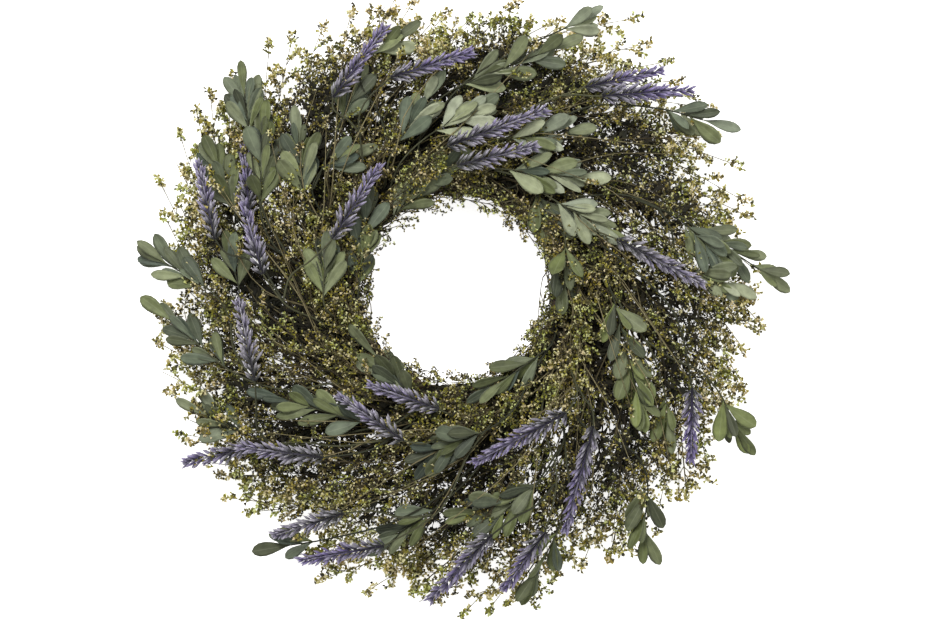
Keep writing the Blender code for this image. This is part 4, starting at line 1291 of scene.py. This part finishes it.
def thinStem(base, tip, sector):
    look = thinLook
    plumes = look["rimPlumes"] if tip.xy.length < look["rim"] else look["plumes"]
    return newStem("spray", sector, base, tip, drawn.uniform(*look["layers"]), plumes)


def sectorOf(tip):
    return int(-math.atan2(tip.y, tip.x) % math.tau / math.tau * sprayLayout["bunches"])


def holeEdge(points):  # how near the middle plumes come: least on the right, where vines show
    turns = np.arctan2(points[:, 1], points[:, 0])
    look = fillLook
    return (partWay(look["holeEdge"], np.exp(-(turns / look["bareSide"]) ** 2))
            + look["holeWave"] * np.sin(turns * look["holeWaves"]))


def fillSpray(pile, stem, tones=fillLook["tones"]):
    look = fillLook
    if min(stem["tip"].xy.length, stem["base"].xy.length) < form["holeRadius"] - look["holeRoom"]:
        return
    inner = stem["base"].xy.length < form["ringRadius"] + look["onRing"]
    lane = stemRules["lanes"][drawn.integers(*look["innerLanes" if inner else "outerLanes"])]
    points = rootLine(stem, drawn.uniform(-look["nudge"], look["nudge"]), lane, stem["layer"])
    line = addStalk(pile, points, drawn.uniform(*tones), finish=1, look=look["stalk"])
    addShadeBracts(pile, line)
    base, tip = np.array(points[-2]), np.array(points[-1])
    rib = tip - base
    n = stem["count"]
    shares = (np.arange(n) + drawn.uniform(0, 1, n)) / n
    shares[-1] = 1
    feet = base + rib * shares[:, None] * look["lastPlume"]
    turns = (np.arange(n) * math.pi + drawn.uniform(-1, 1, n))[:, None]
    out = roundAbout(np.repeat(rib[None], n, 0) / np.linalg.norm(rib), turns, look["flatten"])
    ways = unit(rib) + out * drawn.uniform(*look["plumeLean"], (n, 1))
    ways[-1] = unit(rib)
    reach = drawn.uniform(*look["plumeLength"], (n, 1)) * (1 - look["plumeTaper"] * shares[:, None])
    tips = feet + unit(ways) * reach
    tips[:, 2] = np.maximum(tips[:, 2], look["lowest"])
    clear = flatReach(tips) > holeEdge(tips)
    addPlumes(pile, feet[clear], tips[clear], np.repeat(rib[None], clear.sum(), 0), look["full"])


# On the solids' fans, a finer plume stands between each two on a side
betweenLook = {"lifts": (-7 * mm, 9 * mm), "lengths": (0.6, 0.95), "lowest": 4 * mm,
               "stalkTones": (0.1, 0.8)}


def fanSpray(pile, stem, tree, draw):
    look = betweenLook
    addShadeBracts(pile, addStalk(pile, stem["line"], drawn.uniform(*look["stalkTones"]), finish=1))
    found = fanBranchlets(stem, tree, draw)
    feet, tips = (np.array([pair[k] for pair in found]) for k in (0, 1))
    more = len(feet) - 2
    middle = (feet[:-2] + feet[2:]) / 2
    between = (tips[:-2] + tips[2:]) / 2
    between[:, 2] += drawn.uniform(*look["lifts"], more)
    between = middle + (between - middle) * drawn.uniform(*look["lengths"], (more, 1))
    between[:, 2] = np.maximum(between[:, 2], look["lowest"])
    ribs = np.repeat(np.array(stem["show"][-1] - stem["show"][0])[None], len(feet) + more, 0)
    addPlumes(pile, np.concatenate([feet, middle]), np.concatenate([tips, between]), ribs)


def seedSprays(bunch, draw):
    pile = newPile()
    for stem in bunchStems("spray", bunch):
        fanSpray(pile, stem, trees[stem["node"]], draw)
    for belt in (fillLook["outer"], fillLook["inner"]):
        for k in range(belt["count"]):
            fillSpray(pile, fillStem(k, belt, bunch))
    for k in range(strawLook["count"]):
        straw = fillStem(k, strawLook, bunch)
        straw["layer"] = drawn.uniform(*strawLook["layers"])
        straw["count"] = strawLook["plumes"]
        fillSpray(pile, straw, strawLook["tones"])
    for tip in (flat(place) for place in wispTips):
        if sectorOf(tip) == bunch:
            fillSpray(pile, wispStem(tip, bunch))
    return pile


print("seed sprays")
fanDraw = random.Random("spray")
sprayPiles = [seedSprays(bunch, fanDraw) for bunch in range(sprayLayout["bunches"])]
for base, tip in thinPlaces:
    sector = sectorOf(flat(tip))
    fillSpray(sprayPiles[sector], thinStem(flat(base), flat(tip), sector))
for bunch, pile in enumerate(sprayPiles, 1):
    makePiece(f"seedSprays{bunch:02d}", pile, [finishes["seed"], finishes["twig"]],
              [f"seed_sprays_{bunch:02d}"])

print("stage")
stageLook = {
    "floor": 2.4,
    "cameraHeight": 2.2,
    "aim": (1.3 * mm, -0.65 * mm),
    "seenWidth": 0.651,
    "seenHeight": 45 * mm,
    "lamps": [
        # place, size and power of each soft lamp
        ((-0.5, 0.9, 2.1), 0.8, 38),
        ((1.4, 0.2, 1.7), 1.4, 11),
    ],
    "sky": 0.33,
    "tableGlow": 0.82,
}


def studio():
    look = stageLook
    scene = bpy.context.scene
    bpy.ops.mesh.primitive_plane_add(size=look["floor"] * 2)
    floor = bpy.context.object
    floor.name = "floor"
    # A lit table of frosted white acrylic: matt, and it glows, so its shadows stay faint
    floor.data.materials.append(newFinish("litWhiteTable", {
        "Roughness": 0.95, "Base Color": linear("#fafaf8"), "Emission Color": (1, 1, 1, 1),
        "Emission Strength": look["tableGlow"]})[0])
    for number, (place, size, power) in enumerate(look["lamps"]):
        lamp = bpy.data.lights.new(f"lamp{number}", "AREA")
        lamp.size, lamp.energy = size, power
        item = bpy.data.objects.new(f"lamp{number}", lamp)
        item.location = place
        item.rotation_euler = (-Vector(place)).to_track_quat("-Z", "Y").to_euler()
        scene.collection.objects.link(item)
    world = bpy.data.worlds.new("softRoom")
    world.use_nodes = True
    sky = world.node_tree.nodes["Background"]
    sky.inputs["Color"].default_value = (1, 1, 1, 1)
    sky.inputs["Strength"].default_value = look["sky"]
    scene.world = world
    scene.view_settings.view_transform = "Standard"
    lens = bpy.data.cameras.new("camera")
    lens.lens = lens.sensor_width * (look["cameraHeight"] - look["seenHeight"]) / look["seenWidth"]
    camera = bpy.data.objects.new("camera", lens)
    camera.location = (*look["aim"], look["cameraHeight"])
    scene.collection.objects.link(camera)
    scene.camera = camera


studio()
